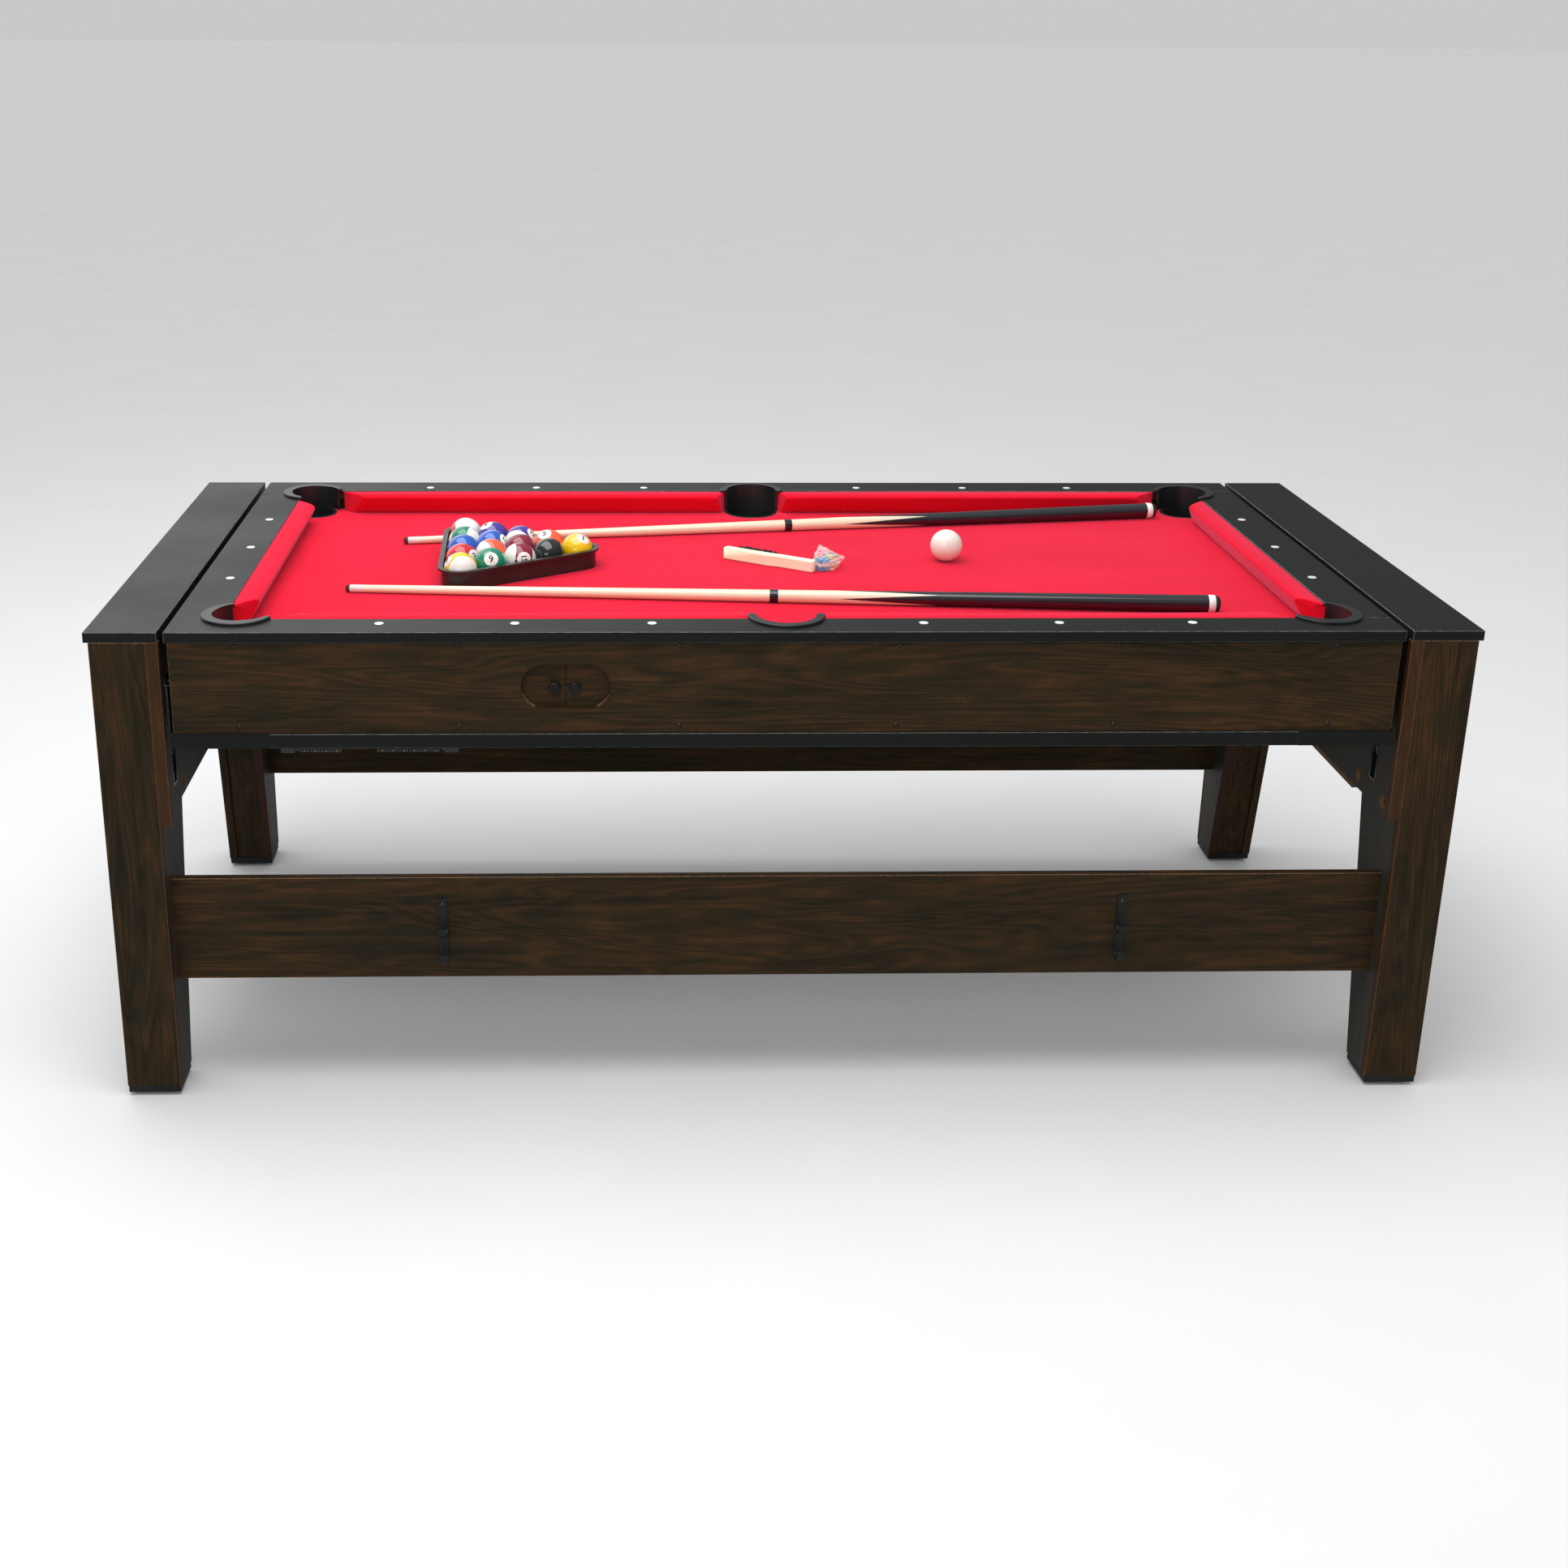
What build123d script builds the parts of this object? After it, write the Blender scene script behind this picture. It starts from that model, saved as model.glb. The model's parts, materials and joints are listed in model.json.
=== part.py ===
"""Two-in-one games table: a pool table on one side and an air hockey rink on the other.

The playing cabinet turns over about a long horizontal axis between two fixed end frames.
Millimetres. +X along the table, +Y to the back, +Z up. The origin is on the floor, under the
middle of the table. The cabinet is drawn with its pool side up.
"""
from build123d import *
from math import atan2, cos, degrees, hypot, radians, sin, sqrt
import os

# ---------------------------------------------------------------- driving dimensions
LENGTH = 2130.0
WIDTH = 956.0
RAIL_TOP = 793.0            # top of end caps and pool rails above the floor
BOARD = 15.0                # laminated board, general thickness
EDGE_BREAK = 0.8            # small chamfer on laminated edges

# stand
CAP_LENGTH = 110.0
CAP_THICK = 16.0
FOOT_PAD = 6.0              # visible height of a levelling foot
FOOT_CAP = 12.0
LEG_OUTER_X = 1058.0
LEG_INNER_X = 972.0
LEG_FACE_TOP_X = 954.0      # the face board is wider above FACE_STEP_Z
FACE_STEP_Z = 476.0
ARCH_Z = 461.0              # underside of the end frame between the legs
LEG_FOOT_Y = 398.0          # inner edge of a leg at the foot
LEG_TOP_Y = 323.0           # inner edge of a leg at ARCH_Z
STRETCHER_Z = (194.5, 371.0)
STRETCHER_Y = 443.0
CLIP_X = (-542.0, 552.0)

# cabinet
CAB_X = 945.0
CAB_BOTTOM = 606.0
PIVOT_Z = (RAIL_TOP + CAB_BOTTOM) / 2
POOL_RAIL = 17.0
HOCKEY_RAIL = 23.0
APRON_X = 941.0
APRON_Y = 474.0
BED_TOP = 753.0
BED_THICK = 12.0
CLOTH = 1.5
RAIL_INNER_X = 868.0
RAIL_INNER_Y = 410.0
NOSE_X = 831.0
NOSE_Y = 371.0

# pockets: centre, hole radius and lip radius
CORNER = (847.5, 391.5)
CORNER_R = 40.0
CORNER_LIP_R = 56.5
CORNER_FLARE = (9.0, 44.5)  # second circle of a corner pocket's mouth: shift and radius
SIDE_Y = 400.0
SIDE_R = 47.0
SIDE_LIP_R = 60.5
POCKET_WALL = 3.0
POCKET_LEDGE = 2.5          # the cup below the bed is this much narrower
POCKET_BOTTOM = 700.0
POCKET_LIP = 4.5
FIT = 0.5                   # clearance round a pocket casting

# hatch in the front apron
HATCH_X = -341.0
HATCH_Z = 704.0
HATCH_LENGTH = 136.0
HATCH_HEIGHT = 72.0
HATCH_RECESS = 9.0
HATCH_EDGE = 1.0            # small step round the opening's front edge

# air hockey side
RINK_X = 873.0
RINK_Y = 410.0
RINK_R = 80.0
SEAM_X = 795.0
SEAM_Y = 330.0
GOAL_Y = 116.0
GOAL_HEIGHT = 12.0
GOAL_BOX_X = (876.0, 924.0)
GOAL_BOX_TOP = 662.0
WALL_STRIP = 1.5
WALL_STRIP_HEIGHT = 10.0

# lock pin, pivot and scorers
PIN_Y = 354.5
PIN_Z = 670.0
PIN_R = 6.0
SHAFT_R = 12.0
BUSH_WALL = 6.0
BUSH_FLANGE = 3.0
BUSH_FLANGE_R = 27.0
RUNNING = 0.05              # radial clearance of a running fit
ROD_R = 4.0
BEAD_PITCH = 16.5

# playing set
BALL_R = 28.6
CUE_LENGTH = 1445.0

CLOTH_TOP = BED_TOP + CLOTH
CUSHION_Z = (CLOTH_TOP + 1.0, RAIL_TOP - 0.5)
HOCKEY_BED_Z = CAB_BOTTOM + HOCKEY_RAIL
HOCKEY_BED = 5.0
LEG_BOTTOM = FOOT_PAD + FOOT_CAP
CAP_Z = RAIL_TOP - CAP_THICK
SIDES = (-1, 1)
SCREW_R = 4.0
SCREW_HEIGHT = 2.5

os.makedirs("parts", exist_ok=True)


# ---------------------------------------------------------------- helpers
def block(x, y, z):
    """Box from three (low, high) pairs, in any order."""
    size = [abs(b - a) for a, b in (x, y, z)]
    return Pos((x[0] + x[1]) / 2, (y[0] + y[1]) / 2, (z[0] + z[1]) / 2) * Box(*size)


def board(x, y, z):
    """Box with broken edges."""
    solid = block(x, y, z)
    return chamfer(solid.edges(), EDGE_BREAK)


def rod_x(y, z, r, x0, x1):
    return Pos((x0 + x1) / 2, y, z) * Rot(0, 90, 0) * Cylinder(r, abs(x1 - x0))


def rod_y(x, z, r, y0, y1):
    return Pos(x, (y0 + y1) / 2, z) * Rot(90, 0, 0) * Cylinder(r, abs(y1 - y0))


def rod_z(x, y, r, z0, z1):
    return Pos(x, y, (z0 + z1) / 2) * Cylinder(r, abs(z1 - z0))


def prism_x(points, x0, x1):
    """Outline of (y, z) points, extruded from x0 to x1."""
    face = make_face(Polyline([(x0, y, z) for y, z in points], close=True))
    return extrude(face, amount=x1 - x0, dir=(1, 0, 0))


def prism_y(points, y0, y1):
    """Outline of (x, z) points, extruded from y0 to y1."""
    face = make_face(Polyline([(x, y0, z) for x, z in points], close=True))
    return extrude(face, amount=y1 - y0, dir=(0, 1, 0))


def prism_z(points, z0, z1):
    """Outline of (x, y) points, extruded from z0 to z1."""
    face = make_face(Polyline([(x, y, z0) for x, y in points], close=True))
    return extrude(face, amount=z1 - z0, dir=(0, 0, 1))


def stadium_y(x, z, length, height, y0, y1):
    """Slot-shaped solid with round ends, running along X and cutting along Y."""
    reach = (length - height) / 2
    middle = block((x - reach, x + reach), (y0, y1), (z - height / 2, z + height / 2))
    return middle + [rod_y(x + s * reach, z, height / 2, y0, y1) for s in SIDES]


def dome_y(x, z, r, y, height, out):
    """Round screw head on a face at y, domed towards out (-1 or +1)."""
    head = rod_y(x, z, r, y, y + out * height)
    edge = head.edges().sort_by(Axis.Y)[0 if out < 0 else -1]
    return fillet(edge, height * 0.8)


def save(name, *parts):
    """One STEP per node; every separate piece stays its own solid."""
    solids = [s for part in parts for s in part.solids()]
    shape = solids[0] if len(solids) == 1 else Compound(children=solids)
    shape.label = name
    export_step(shape, f"parts/{name}.step")


def mirrored_x(part):
    return mirror(part, about=Plane.YZ)


def mirrored_y(part):
    return mirror(part, about=Plane.XZ)


# ---------------------------------------------------------------- stand
def leg_edge_y(z):
    """Inner edge of a leg at height z: the legs widen upwards."""
    return LEG_FOOT_Y + (LEG_TOP_Y - LEG_FOOT_Y) * (z - LEG_BOTTOM) / (ARCH_Z - LEG_BOTTOM)


def arch_outline():
    """End panel: two widening legs joined by a deep cross panel."""
    half = WIDTH / 2 - BOARD
    return [(-half, LEG_BOTTOM), (-LEG_FOOT_Y, LEG_BOTTOM), (-LEG_TOP_Y, ARCH_Z),
            (LEG_TOP_Y, ARCH_Z), (LEG_FOOT_Y, LEG_BOTTOM), (half, LEG_BOTTOM),
            (half, CAP_Z), (-half, CAP_Z)]


SLOT_WIDTH = 23.0
SLOT_BOTTOM = 498.0
SLOT_STRAIGHT_TOP = 560.0
SLOT_FLARE = 18.0
SLOT_FLARE_TOP = 615.0
SLOT_TOP = 690.0
LINER_WALL = 2.5
LINER_DEPTH = 28.0


def slot_outline(inset=0.0):
    """Lock slot in the front of the inner panel: straight below, flared above."""
    narrow = SLOT_WIDTH / 2 - inset
    wide = SLOT_WIDTH / 2 + SLOT_FLARE - inset
    low, high = SLOT_BOTTOM + inset, SLOT_TOP - inset
    right = [(narrow, low), (narrow, SLOT_STRAIGHT_TOP), (wide, SLOT_FLARE_TOP), (wide, high)]
    left = [(-w, z) for w, z in reversed(right)]
    return [(-PIN_Y + w, z) for w, z in right + left]


BOLT_PLACES = ((303.0, 482.0), (408.0, 479.0))
BOLT_BORE_R = 11.0
BOLT_BORE_DEPTH = 9.0
BOLT_HEAD_R = 6.5
BOLT_HEAD = 4.0
BOLT_SOCKET_R = 2.5


def inner_panel():
    """Right-hand inner panel with its lock slot, pivot bore and bolt recesses."""
    panel = prism_x(arch_outline(), LEG_INNER_X, LEG_INNER_X + BOARD)
    cuts = [prism_x(slot_outline(), LEG_INNER_X - 1, LEG_INNER_X + BOARD + 1),
            rod_x(0, PIVOT_Z, SHAFT_R + BUSH_WALL, LEG_INNER_X - 1, LEG_INNER_X + BOARD + 1)]
    for y, z in BOLT_PLACES:
        for s in SIDES:
            cuts.append(rod_x(s * y, z, BOLT_BORE_R, LEG_INNER_X - 1, LEG_INNER_X + BOLT_BORE_DEPTH))
    return panel - cuts


def outer_panel():
    return prism_x(arch_outline(), LEG_OUTER_X - BOARD, LEG_OUTER_X)


def leg_face(s_y):
    """Face board of a right-hand leg."""
    y = sorted((s_y * (WIDTH / 2 - BOARD), s_y * WIDTH / 2))
    return board((LEG_INNER_X, LEG_OUTER_X), y, (LEG_BOTTOM, CAP_Z))


def leg_strip(s_y):
    """Strip glued to the face board's edge near the top, where it hides the pivot gap."""
    y = sorted((s_y * (WIDTH / 2 - BOARD), s_y * WIDTH / 2))
    return board((LEG_FACE_TOP_X, LEG_INNER_X), y, (FACE_STEP_Z, CAP_Z))


BACK_RECESS = 5.0
BACK_THICK = 12.0
BACK_TOP = 480.0


def leg_back(s_y):
    """Recessed board that closes a leg between its two panels, following the taper."""
    run = (LEG_TOP_Y - LEG_FOOT_Y) / (ARCH_Z - LEG_BOTTOM)
    low = LEG_FOOT_Y + BACK_RECESS
    high = low + run * (BACK_TOP - LEG_BOTTOM)
    outline = [(low, LEG_BOTTOM), (low + BACK_THICK, LEG_BOTTOM),
               (high + BACK_THICK, BACK_TOP), (high, BACK_TOP)]
    solid = prism_x(outline, LEG_INNER_X + BOARD, LEG_OUTER_X - BOARD)
    return solid if s_y > 0 else mirrored_y(solid)


def end_cap():
    return board((LENGTH / 2 - CAP_LENGTH, LENGTH / 2), (-WIDTH / 2, WIDTH / 2), (CAP_Z, RAIL_TOP))


CROSS_RAIL_Y = 245.0
CROSS_RAIL_THICK = 18.0
CROSS_RAIL_Z = (437.0, 520.0)


def cross_rail():
    x = LEG_INNER_X + BOARD
    return block((x, x + CROSS_RAIL_THICK), (-CROSS_RAIL_Y, CROSS_RAIL_Y), CROSS_RAIL_Z)


FOOT_X = (LEG_INNER_X + LEG_OUTER_X) / 2
FOOT_Y = (LEG_FOOT_Y + WIDTH / 2) / 2
STEM_R = 4.0
PAD_R = 14.0
STEM_TOP = 34.0


def foot_cap(s_y):
    """Black cap on the end of a leg, bored for the levelling foot."""
    inset = 1.0
    y = sorted((s_y * (LEG_FOOT_Y + inset), s_y * (WIDTH / 2 - inset)))
    solid = board((LEG_INNER_X + inset, LEG_OUTER_X - inset), y, (FOOT_PAD, LEG_BOTTOM))
    return solid - rod_z(FOOT_X, s_y * FOOT_Y, STEM_R + RUNNING, FOOT_PAD - 1, LEG_BOTTOM + 1)


def levelling_foot(s_x, s_y):
    """Round pad with a threaded stem that screws into the foot cap."""
    x, y = s_x * FOOT_X, s_y * FOOT_Y
    pad = fillet(rod_z(x, y, PAD_R, 0, FOOT_PAD - 0.3).edges().sort_by(Axis.Z)[0], 1.5)
    return pad + rod_z(x, y, STEM_R, FOOT_PAD - 0.5, STEM_TOP)


def stretcher(s_y):
    y = sorted((s_y * (STRETCHER_Y - BOARD), s_y * STRETCHER_Y))
    return board((-LEG_INNER_X, LEG_INNER_X), y, STRETCHER_Z)


CLIP_WIDTH = 14.0
CLIP_SCREW_Z = 326.0
HOOK_Z = (286.0, 239.0)
HOOK_R = 10.5
HOOK_WALL = 3.0


def cue_clip(x):
    """Wall clip with two upward hooks that each carry one cue."""
    half = CLIP_WIDTH / 2
    face = -STRETCHER_Y
    plate = block((x - half, x + half), (face - HOOK_WALL, face), (HOOK_Z[1] - 6, CLIP_SCREW_Z + 9))
    clip = plate
    for z in HOOK_Z:
        y = face - HOOK_WALL - HOOK_R + 1
        ring = rod_x(y, z, HOOK_R + HOOK_WALL, x - half, x + half)
        ring -= rod_x(y, z, HOOK_R, x - half - 1, x + half + 1)
        ring -= block((x - half - 1, x + half + 1), (y - 30, face), (z + 1, z + 30))
        tip = block((x - half, x + half), (y - HOOK_R - HOOK_WALL, y - HOOK_R), (z, z + 6))
        clip = clip + ring + tip
    behind = block((x - half - 1, x + half + 1), (face, face + 20), (HOOK_Z[1] - 40, CLIP_SCREW_Z + 20))
    return clip - behind


def stand_screws():
    """Domed screws of the cue clips, and socket-head bolts in the panel recesses."""
    screws = [dome_y(x, CLIP_SCREW_Z, SCREW_R, -STRETCHER_Y - HOOK_WALL, SCREW_HEIGHT, -1) for x in CLIP_X]
    seat = LEG_INNER_X + BOLT_BORE_DEPTH
    for s_x in SIDES:
        for s_y in SIDES:
            for y, z in BOLT_PLACES:
                head = rod_x(s_y * y, z, BOLT_HEAD_R, s_x * seat, s_x * (seat - BOLT_HEAD))
                socket = rod_x(s_y * y, z, BOLT_SOCKET_R, s_x * (seat - BOLT_HEAD / 2),
                               s_x * (seat - BOLT_HEAD - 1))
                screws.append(head - socket)
    return screws


def pivot_bush():
    """Flanged bush that carries a cabinet pivot in the inner panel."""
    x0, x1 = LEG_INNER_X - BUSH_FLANGE, LEG_INNER_X + BOARD + 2
    bush = rod_x(0, PIVOT_Z, SHAFT_R + BUSH_WALL, x0, x1)
    bush += rod_x(0, PIVOT_Z, BUSH_FLANGE_R, x0, LEG_INNER_X)
    return bush - rod_x(0, PIVOT_Z, SHAFT_R + RUNNING, x0 - 1, x1 + 1)


def lock_liner():
    """Moulded tray that lines the lock slot and guides the lock pin."""
    x0, x1 = LEG_INNER_X, LEG_INNER_X + LINER_DEPTH
    tray = prism_x(slot_outline(), x0, x1)
    tray -= prism_x(slot_outline(LINER_WALL), x0 - 1, x1 - LINER_WALL)
    guide = block((x1 - 12, x1), (-PIN_Y - 14, -PIN_Y + 14), (PIN_Z - 14, PIN_Z + 14))
    return tray + guide - rod_x(-PIN_Y, PIN_Z, PIN_R + RUNNING, x0, x1 + 1)


PIN_TIP_X = 945.0
PIN_END_X = 1018.0
LEVER_X = (976.0, 984.0)
LEVER_HALF = 7.0
LEVER_BOTTOM = 541.0


def lock_pin():
    """Sliding bolt that holds the cabinet, with a finger lever hanging in the slot."""
    pin = rod_x(-PIN_Y, PIN_Z, PIN_R, PIN_TIP_X, PIN_END_X)
    pin = chamfer(pin.edges().sort_by(Axis.X)[0], 1.5)
    lever = block(LEVER_X, (-PIN_Y - LEVER_HALF, -PIN_Y + LEVER_HALF), (LEVER_BOTTOM, PIN_Z + 10))
    lever = fillet(lever.edges().filter_by(Axis.X), 3.0)
    screw = rod_x(-PIN_Y, LEVER_BOTTOM + 11, 4.0, LEVER_X[0] - 2, LEVER_X[0] + 1)
    return pin + lever + screw


def build_stand():
    for name, part in (("end_cap", end_cap()), ("inner_panel", inner_panel()),
                       ("outer_panel", outer_panel()), ("lock_pin", lock_pin())):
        save(name + "_right", part)
        save(name + "_left", mirrored_x(part))
    faces = [make(s) for make in (leg_face, leg_strip) for s in SIDES]
    backs = [leg_back(s) for s in SIDES]
    caps = [foot_cap(s) for s in SIDES]
    for name, right in (("leg_face_boards", faces), ("leg_back_boards", backs), ("foot_caps", caps)):
        save(name, *right, *[mirrored_x(p) for p in right])
    for name, part in (("cross_rails", cross_rail()), ("pivot_bushes", pivot_bush()),
                       ("lock_liners", lock_liner())):
        save(name, part, mirrored_x(part))
    for s_x, side in ((-1, "left"), (1, "right")):
        save(f"levelling_foot_front_{side}", levelling_foot(s_x, -1))
        save(f"levelling_foot_rear_{side}", levelling_foot(s_x, 1))
    save("stretcher_front", stretcher(-1))
    save("stretcher_rear", stretcher(1))
    save("cue_clips", *[cue_clip(x) for x in CLIP_X])
    save("stand_screws", *stand_screws())


# ---------------------------------------------------------------- pool side
def at_corners(tool):
    """Four copies of a tool drawn at the origin, each turned so its +X faces the table's middle."""
    return [Pos(sx * CORNER[0], sy * CORNER[1], 0) * Rot(0, 0, degrees(atan2(-sy, -sx))) * tool
            for sx in SIDES for sy in SIDES]


def at_sides(tool):
    return [Pos(0, s * SIDE_Y, 0) * Rot(0, 0, -90 * s) * tool for s in SIDES]


def mouth(bore_r, flare, grow, z0, z1):
    """Pocket mouth at the local origin: the bore, and a wider circle shifted towards the table."""
    shift, flare_r = flare
    return rod_z(0, 0, bore_r + grow, z0, z1) + rod_z(shift, 0, flare_r + grow, z0, z1)


def pocket_bores(extra, z0, z1):
    """Solids that clear the six pocket castings, with their flared mouths above the bed."""
    grow = POCKET_WALL + extra
    bore = rod_z(0, 0, CORNER_R + grow, z0, z1)
    if z1 > CLOTH_TOP + 1:
        bore = mouth(CORNER_R, CORNER_FLARE, grow, z0, z1)
    return at_corners(bore) + at_sides(rod_z(0, 0, SIDE_R + grow, z0, z1))


def pool_rails():
    """Long rails run the full length; the end rails fit between them."""
    z = (RAIL_TOP - POOL_RAIL, RAIL_TOP)
    long_rails = [board((-CAB_X, CAB_X), sorted((s * RAIL_INNER_Y, s * WIDTH / 2)), z) for s in SIDES]
    end_rails = [board(sorted((s * RAIL_INNER_X, s * CAB_X)), (-RAIL_INNER_Y, RAIL_INNER_Y), z)
                 for s in SIDES]
    bores = pocket_bores(FIT, z[0] - 1, z[1] + 1)
    return [r - bores for r in long_rails], [r - bores for r in end_rails]


def pool_bed():
    inside_x, inside_y = APRON_X - BOARD, APRON_Y - BOARD
    bed = block((-inside_x, inside_x), (-inside_y, inside_y), (BED_TOP - BED_THICK, BED_TOP))
    return bed - pocket_bores(FIT, BED_TOP - BED_THICK - 1, BED_TOP + 1)


CLOTH_X = 881.0
CLOTH_Y = 421.0


def pool_cloth():
    cloth = block((-CLOTH_X, CLOTH_X), (-CLOTH_Y, CLOTH_Y), (BED_TOP, CLOTH_TOP))
    return cloth - pocket_bores(FIT, BED_TOP - 1, CLOTH_TOP + 1)


LONG_RAIL_ENDS = (50.0, 791.0)      # cushion against the rail, from the side pocket outwards
LONG_NOSE_ENDS = (66.0, 752.0)
END_RAIL_HALF = 340.0
END_NOSE_HALF = 300.0


def cushions():
    """Six padded cushions with facings cut back towards the pockets."""
    pads = []
    for sx in SIDES:
        for sy in SIDES:
            outline = [(sx * LONG_RAIL_ENDS[0], sy * RAIL_INNER_Y),
                       (sx * LONG_RAIL_ENDS[1], sy * RAIL_INNER_Y),
                       (sx * LONG_NOSE_ENDS[1], sy * NOSE_Y), (sx * LONG_NOSE_ENDS[0], sy * NOSE_Y)]
            pads.append(prism_z(outline, *CUSHION_Z))
        outline = [(sx * RAIL_INNER_X, -END_RAIL_HALF), (sx * RAIL_INNER_X, END_RAIL_HALF),
                   (sx * NOSE_X, END_NOSE_HALF), (sx * NOSE_X, -END_NOSE_HALF)]
        pads.append(prism_z(outline, *CUSHION_Z))
    return pads


def sector(radius, z0, z1, half_angle):
    """Wedge about the local Z axis, centred on local +X."""
    a = radians(half_angle)
    x, y = radius * cos(a), radius * sin(a)
    return prism_z([(0, 0), (x, -y), (radius * 2, -y), (radius * 2, y), (x, y)], z0, z1)


LIP_ROUND = 2.0
RIM = 0.2                   # the cup's rim stands this far above the cloth


def pocket(bore_r, flare, lip_r, open_half, tip_at, tip_r):
    """Drop pocket at the local origin: a cup, a wall open towards local +X, and a rolled lip."""
    wall_z = (CLOTH_TOP + RIM, RAIL_TOP)
    lip_z = (RAIL_TOP, RAIL_TOP + POCKET_LIP)
    reach = 2 * lip_r
    cup = rod_z(0, 0, bore_r + POCKET_WALL, POCKET_BOTTOM, wall_z[0])
    cup -= rod_z(0, 0, bore_r - POCKET_LEDGE, POCKET_BOTTOM + POCKET_WALL, wall_z[0] + 1)
    wall = mouth(bore_r, flare, POCKET_WALL, *wall_z) - sector(reach, *wall_z, open_half)
    lip = rod_z(0, 0, lip_r, *lip_z)
    lip = fillet(lip.edges().group_by(Axis.Z)[-1], LIP_ROUND)
    lip -= sector(reach, lip_z[0] - 1, lip_z[1] + 1, open_half)
    casting = wall + lip - mouth(bore_r, flare, 0, wall_z[0] - 1, lip_z[1] + 1)
    a = radians(open_half)
    for s in SIDES:
        tip = rod_z(tip_at * cos(a), s * tip_at * sin(a), tip_r, *lip_z)
        casting += fillet(tip.edges().sort_by(Axis.Z)[-1], LIP_ROUND)
    return cup + casting


def corner_pockets():
    return at_corners(pocket(CORNER_R, CORNER_FLARE, CORNER_LIP_R, 66.0, 51.9, 4.6))


def side_pockets():
    return at_sides(pocket(SIDE_R, (0.0, SIDE_R), SIDE_LIP_R, 92.0, 53.8, 6.7))


SIGHT_R = 7.0
SIGHT_THICK = 0.5
SIGHT_ROW_X = 898.0
SIGHT_ROW_Y = 434.0
SIGHT_X = (209.0, 419.0, 626.0)
SIGHT_Y = (-189.0, 0.0, 189.0)


def rail_sights():
    """White inlays that mark the rails."""
    z = (RAIL_TOP, RAIL_TOP + SIGHT_THICK)
    long_sights = [rod_z(sx * x, sy * SIGHT_ROW_Y, SIGHT_R, *z)
                   for x in SIGHT_X for sx in SIDES for sy in SIDES]
    end_sights = [rod_z(sx * SIGHT_ROW_X, y, SIGHT_R, *z) for y in SIGHT_Y for sx in SIDES]
    return long_sights + end_sights


# ---------------------------------------------------------------- cabinet box
APRON_Z = (HOCKEY_BED_Z, RAIL_TOP - POOL_RAIL)
DOOR_THICK = 5.0
DOOR_WIDTH = 72.5
DOOR_GAP = 0.4
RABBET_HALF = 118.0
RABBET_Z = (HATCH_Z - 44.0, HATCH_Z + 44.0)
DOOR_FACE_Y = -APRON_Y + HATCH_RECESS + 0.5
KNOB_X = (-358.0, -327.0)
KNOB_Z = 701.0
KNOB_R = 9.5
KNOB_NECK = 5.0
KNOB_REACH = 11.0


def apron_rear():
    return board((-APRON_X, APRON_X), (APRON_Y - BOARD, APRON_Y), APRON_Z)


def apron_front():
    """Front apron with the hatch opening and a rabbet behind it for the sliding doors."""
    apron = board((-APRON_X, APRON_X), (-APRON_Y, -APRON_Y + BOARD), APRON_Z)
    hole = stadium_y(HATCH_X, HATCH_Z, HATCH_LENGTH, HATCH_HEIGHT, -APRON_Y - 1, -APRON_Y + BOARD + 1)
    hole += stadium_y(HATCH_X, HATCH_Z, HATCH_LENGTH + 2 * HATCH_EDGE, HATCH_HEIGHT + 2 * HATCH_EDGE,
                      -APRON_Y - 1, -APRON_Y + HATCH_EDGE)
    rabbet = block((HATCH_X - RABBET_HALF, HATCH_X + RABBET_HALF),
                   (-APRON_Y + HATCH_RECESS, -APRON_Y + BOARD + 1), RABBET_Z)
    return apron - hole - rabbet


def hatch_door(side):
    """Half door that slides sideways behind the apron."""
    x = sorted((HATCH_X + side * DOOR_GAP, HATCH_X + side * (DOOR_GAP + DOOR_WIDTH)))
    return block(x, (DOOR_FACE_Y, DOOR_FACE_Y + DOOR_THICK), (RABBET_Z[0] + 0.5, RABBET_Z[1] - 0.5))


def hatch_knob(x):
    """Turned knob with a narrow neck, fixed to the door face."""
    neck = rod_y(x, KNOB_Z, KNOB_R / 2, DOOR_FACE_Y, DOOR_FACE_Y - KNOB_NECK)
    head = rod_y(x, KNOB_Z, KNOB_R, DOOR_FACE_Y - KNOB_NECK + 1, DOOR_FACE_Y - KNOB_REACH)
    return neck + fillet(head.edges().filter_by(GeomType.CIRCLE), 3.0)


BOX_HALF = 92.0
BOX_Y = (-APRON_Y + BOARD + 3.0, -300.0)
BOX_Z = (656.0, 740.0)
BOX_WALL = 3.0
BOX_MOUTH = 68.0


def storage_box():
    """Accessory box behind the hatch, and the frame that keeps the doors in their track."""
    x = (HATCH_X - BOX_HALF, HATCH_X + BOX_HALF)
    frame_y = (-APRON_Y + BOARD, BOX_Y[0])
    frame = block((HATCH_X - RABBET_HALF - BOARD, HATCH_X + RABBET_HALF + BOARD), frame_y, BOX_Z)
    frame -= block((HATCH_X - HATCH_LENGTH / 2, HATCH_X + HATCH_LENGTH / 2), frame_y,
                   (HATCH_Z - BOX_MOUTH / 2, HATCH_Z + BOX_MOUTH / 2))
    box = block(x, BOX_Y, BOX_Z)
    box -= block((x[0] + BOX_WALL, x[1] - BOX_WALL), (BOX_Y[0], BOX_Y[1] - BOX_WALL),
                 (BOX_Z[0] + BOX_WALL, BOX_Z[1] - BOX_WALL))
    return frame, box


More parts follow.
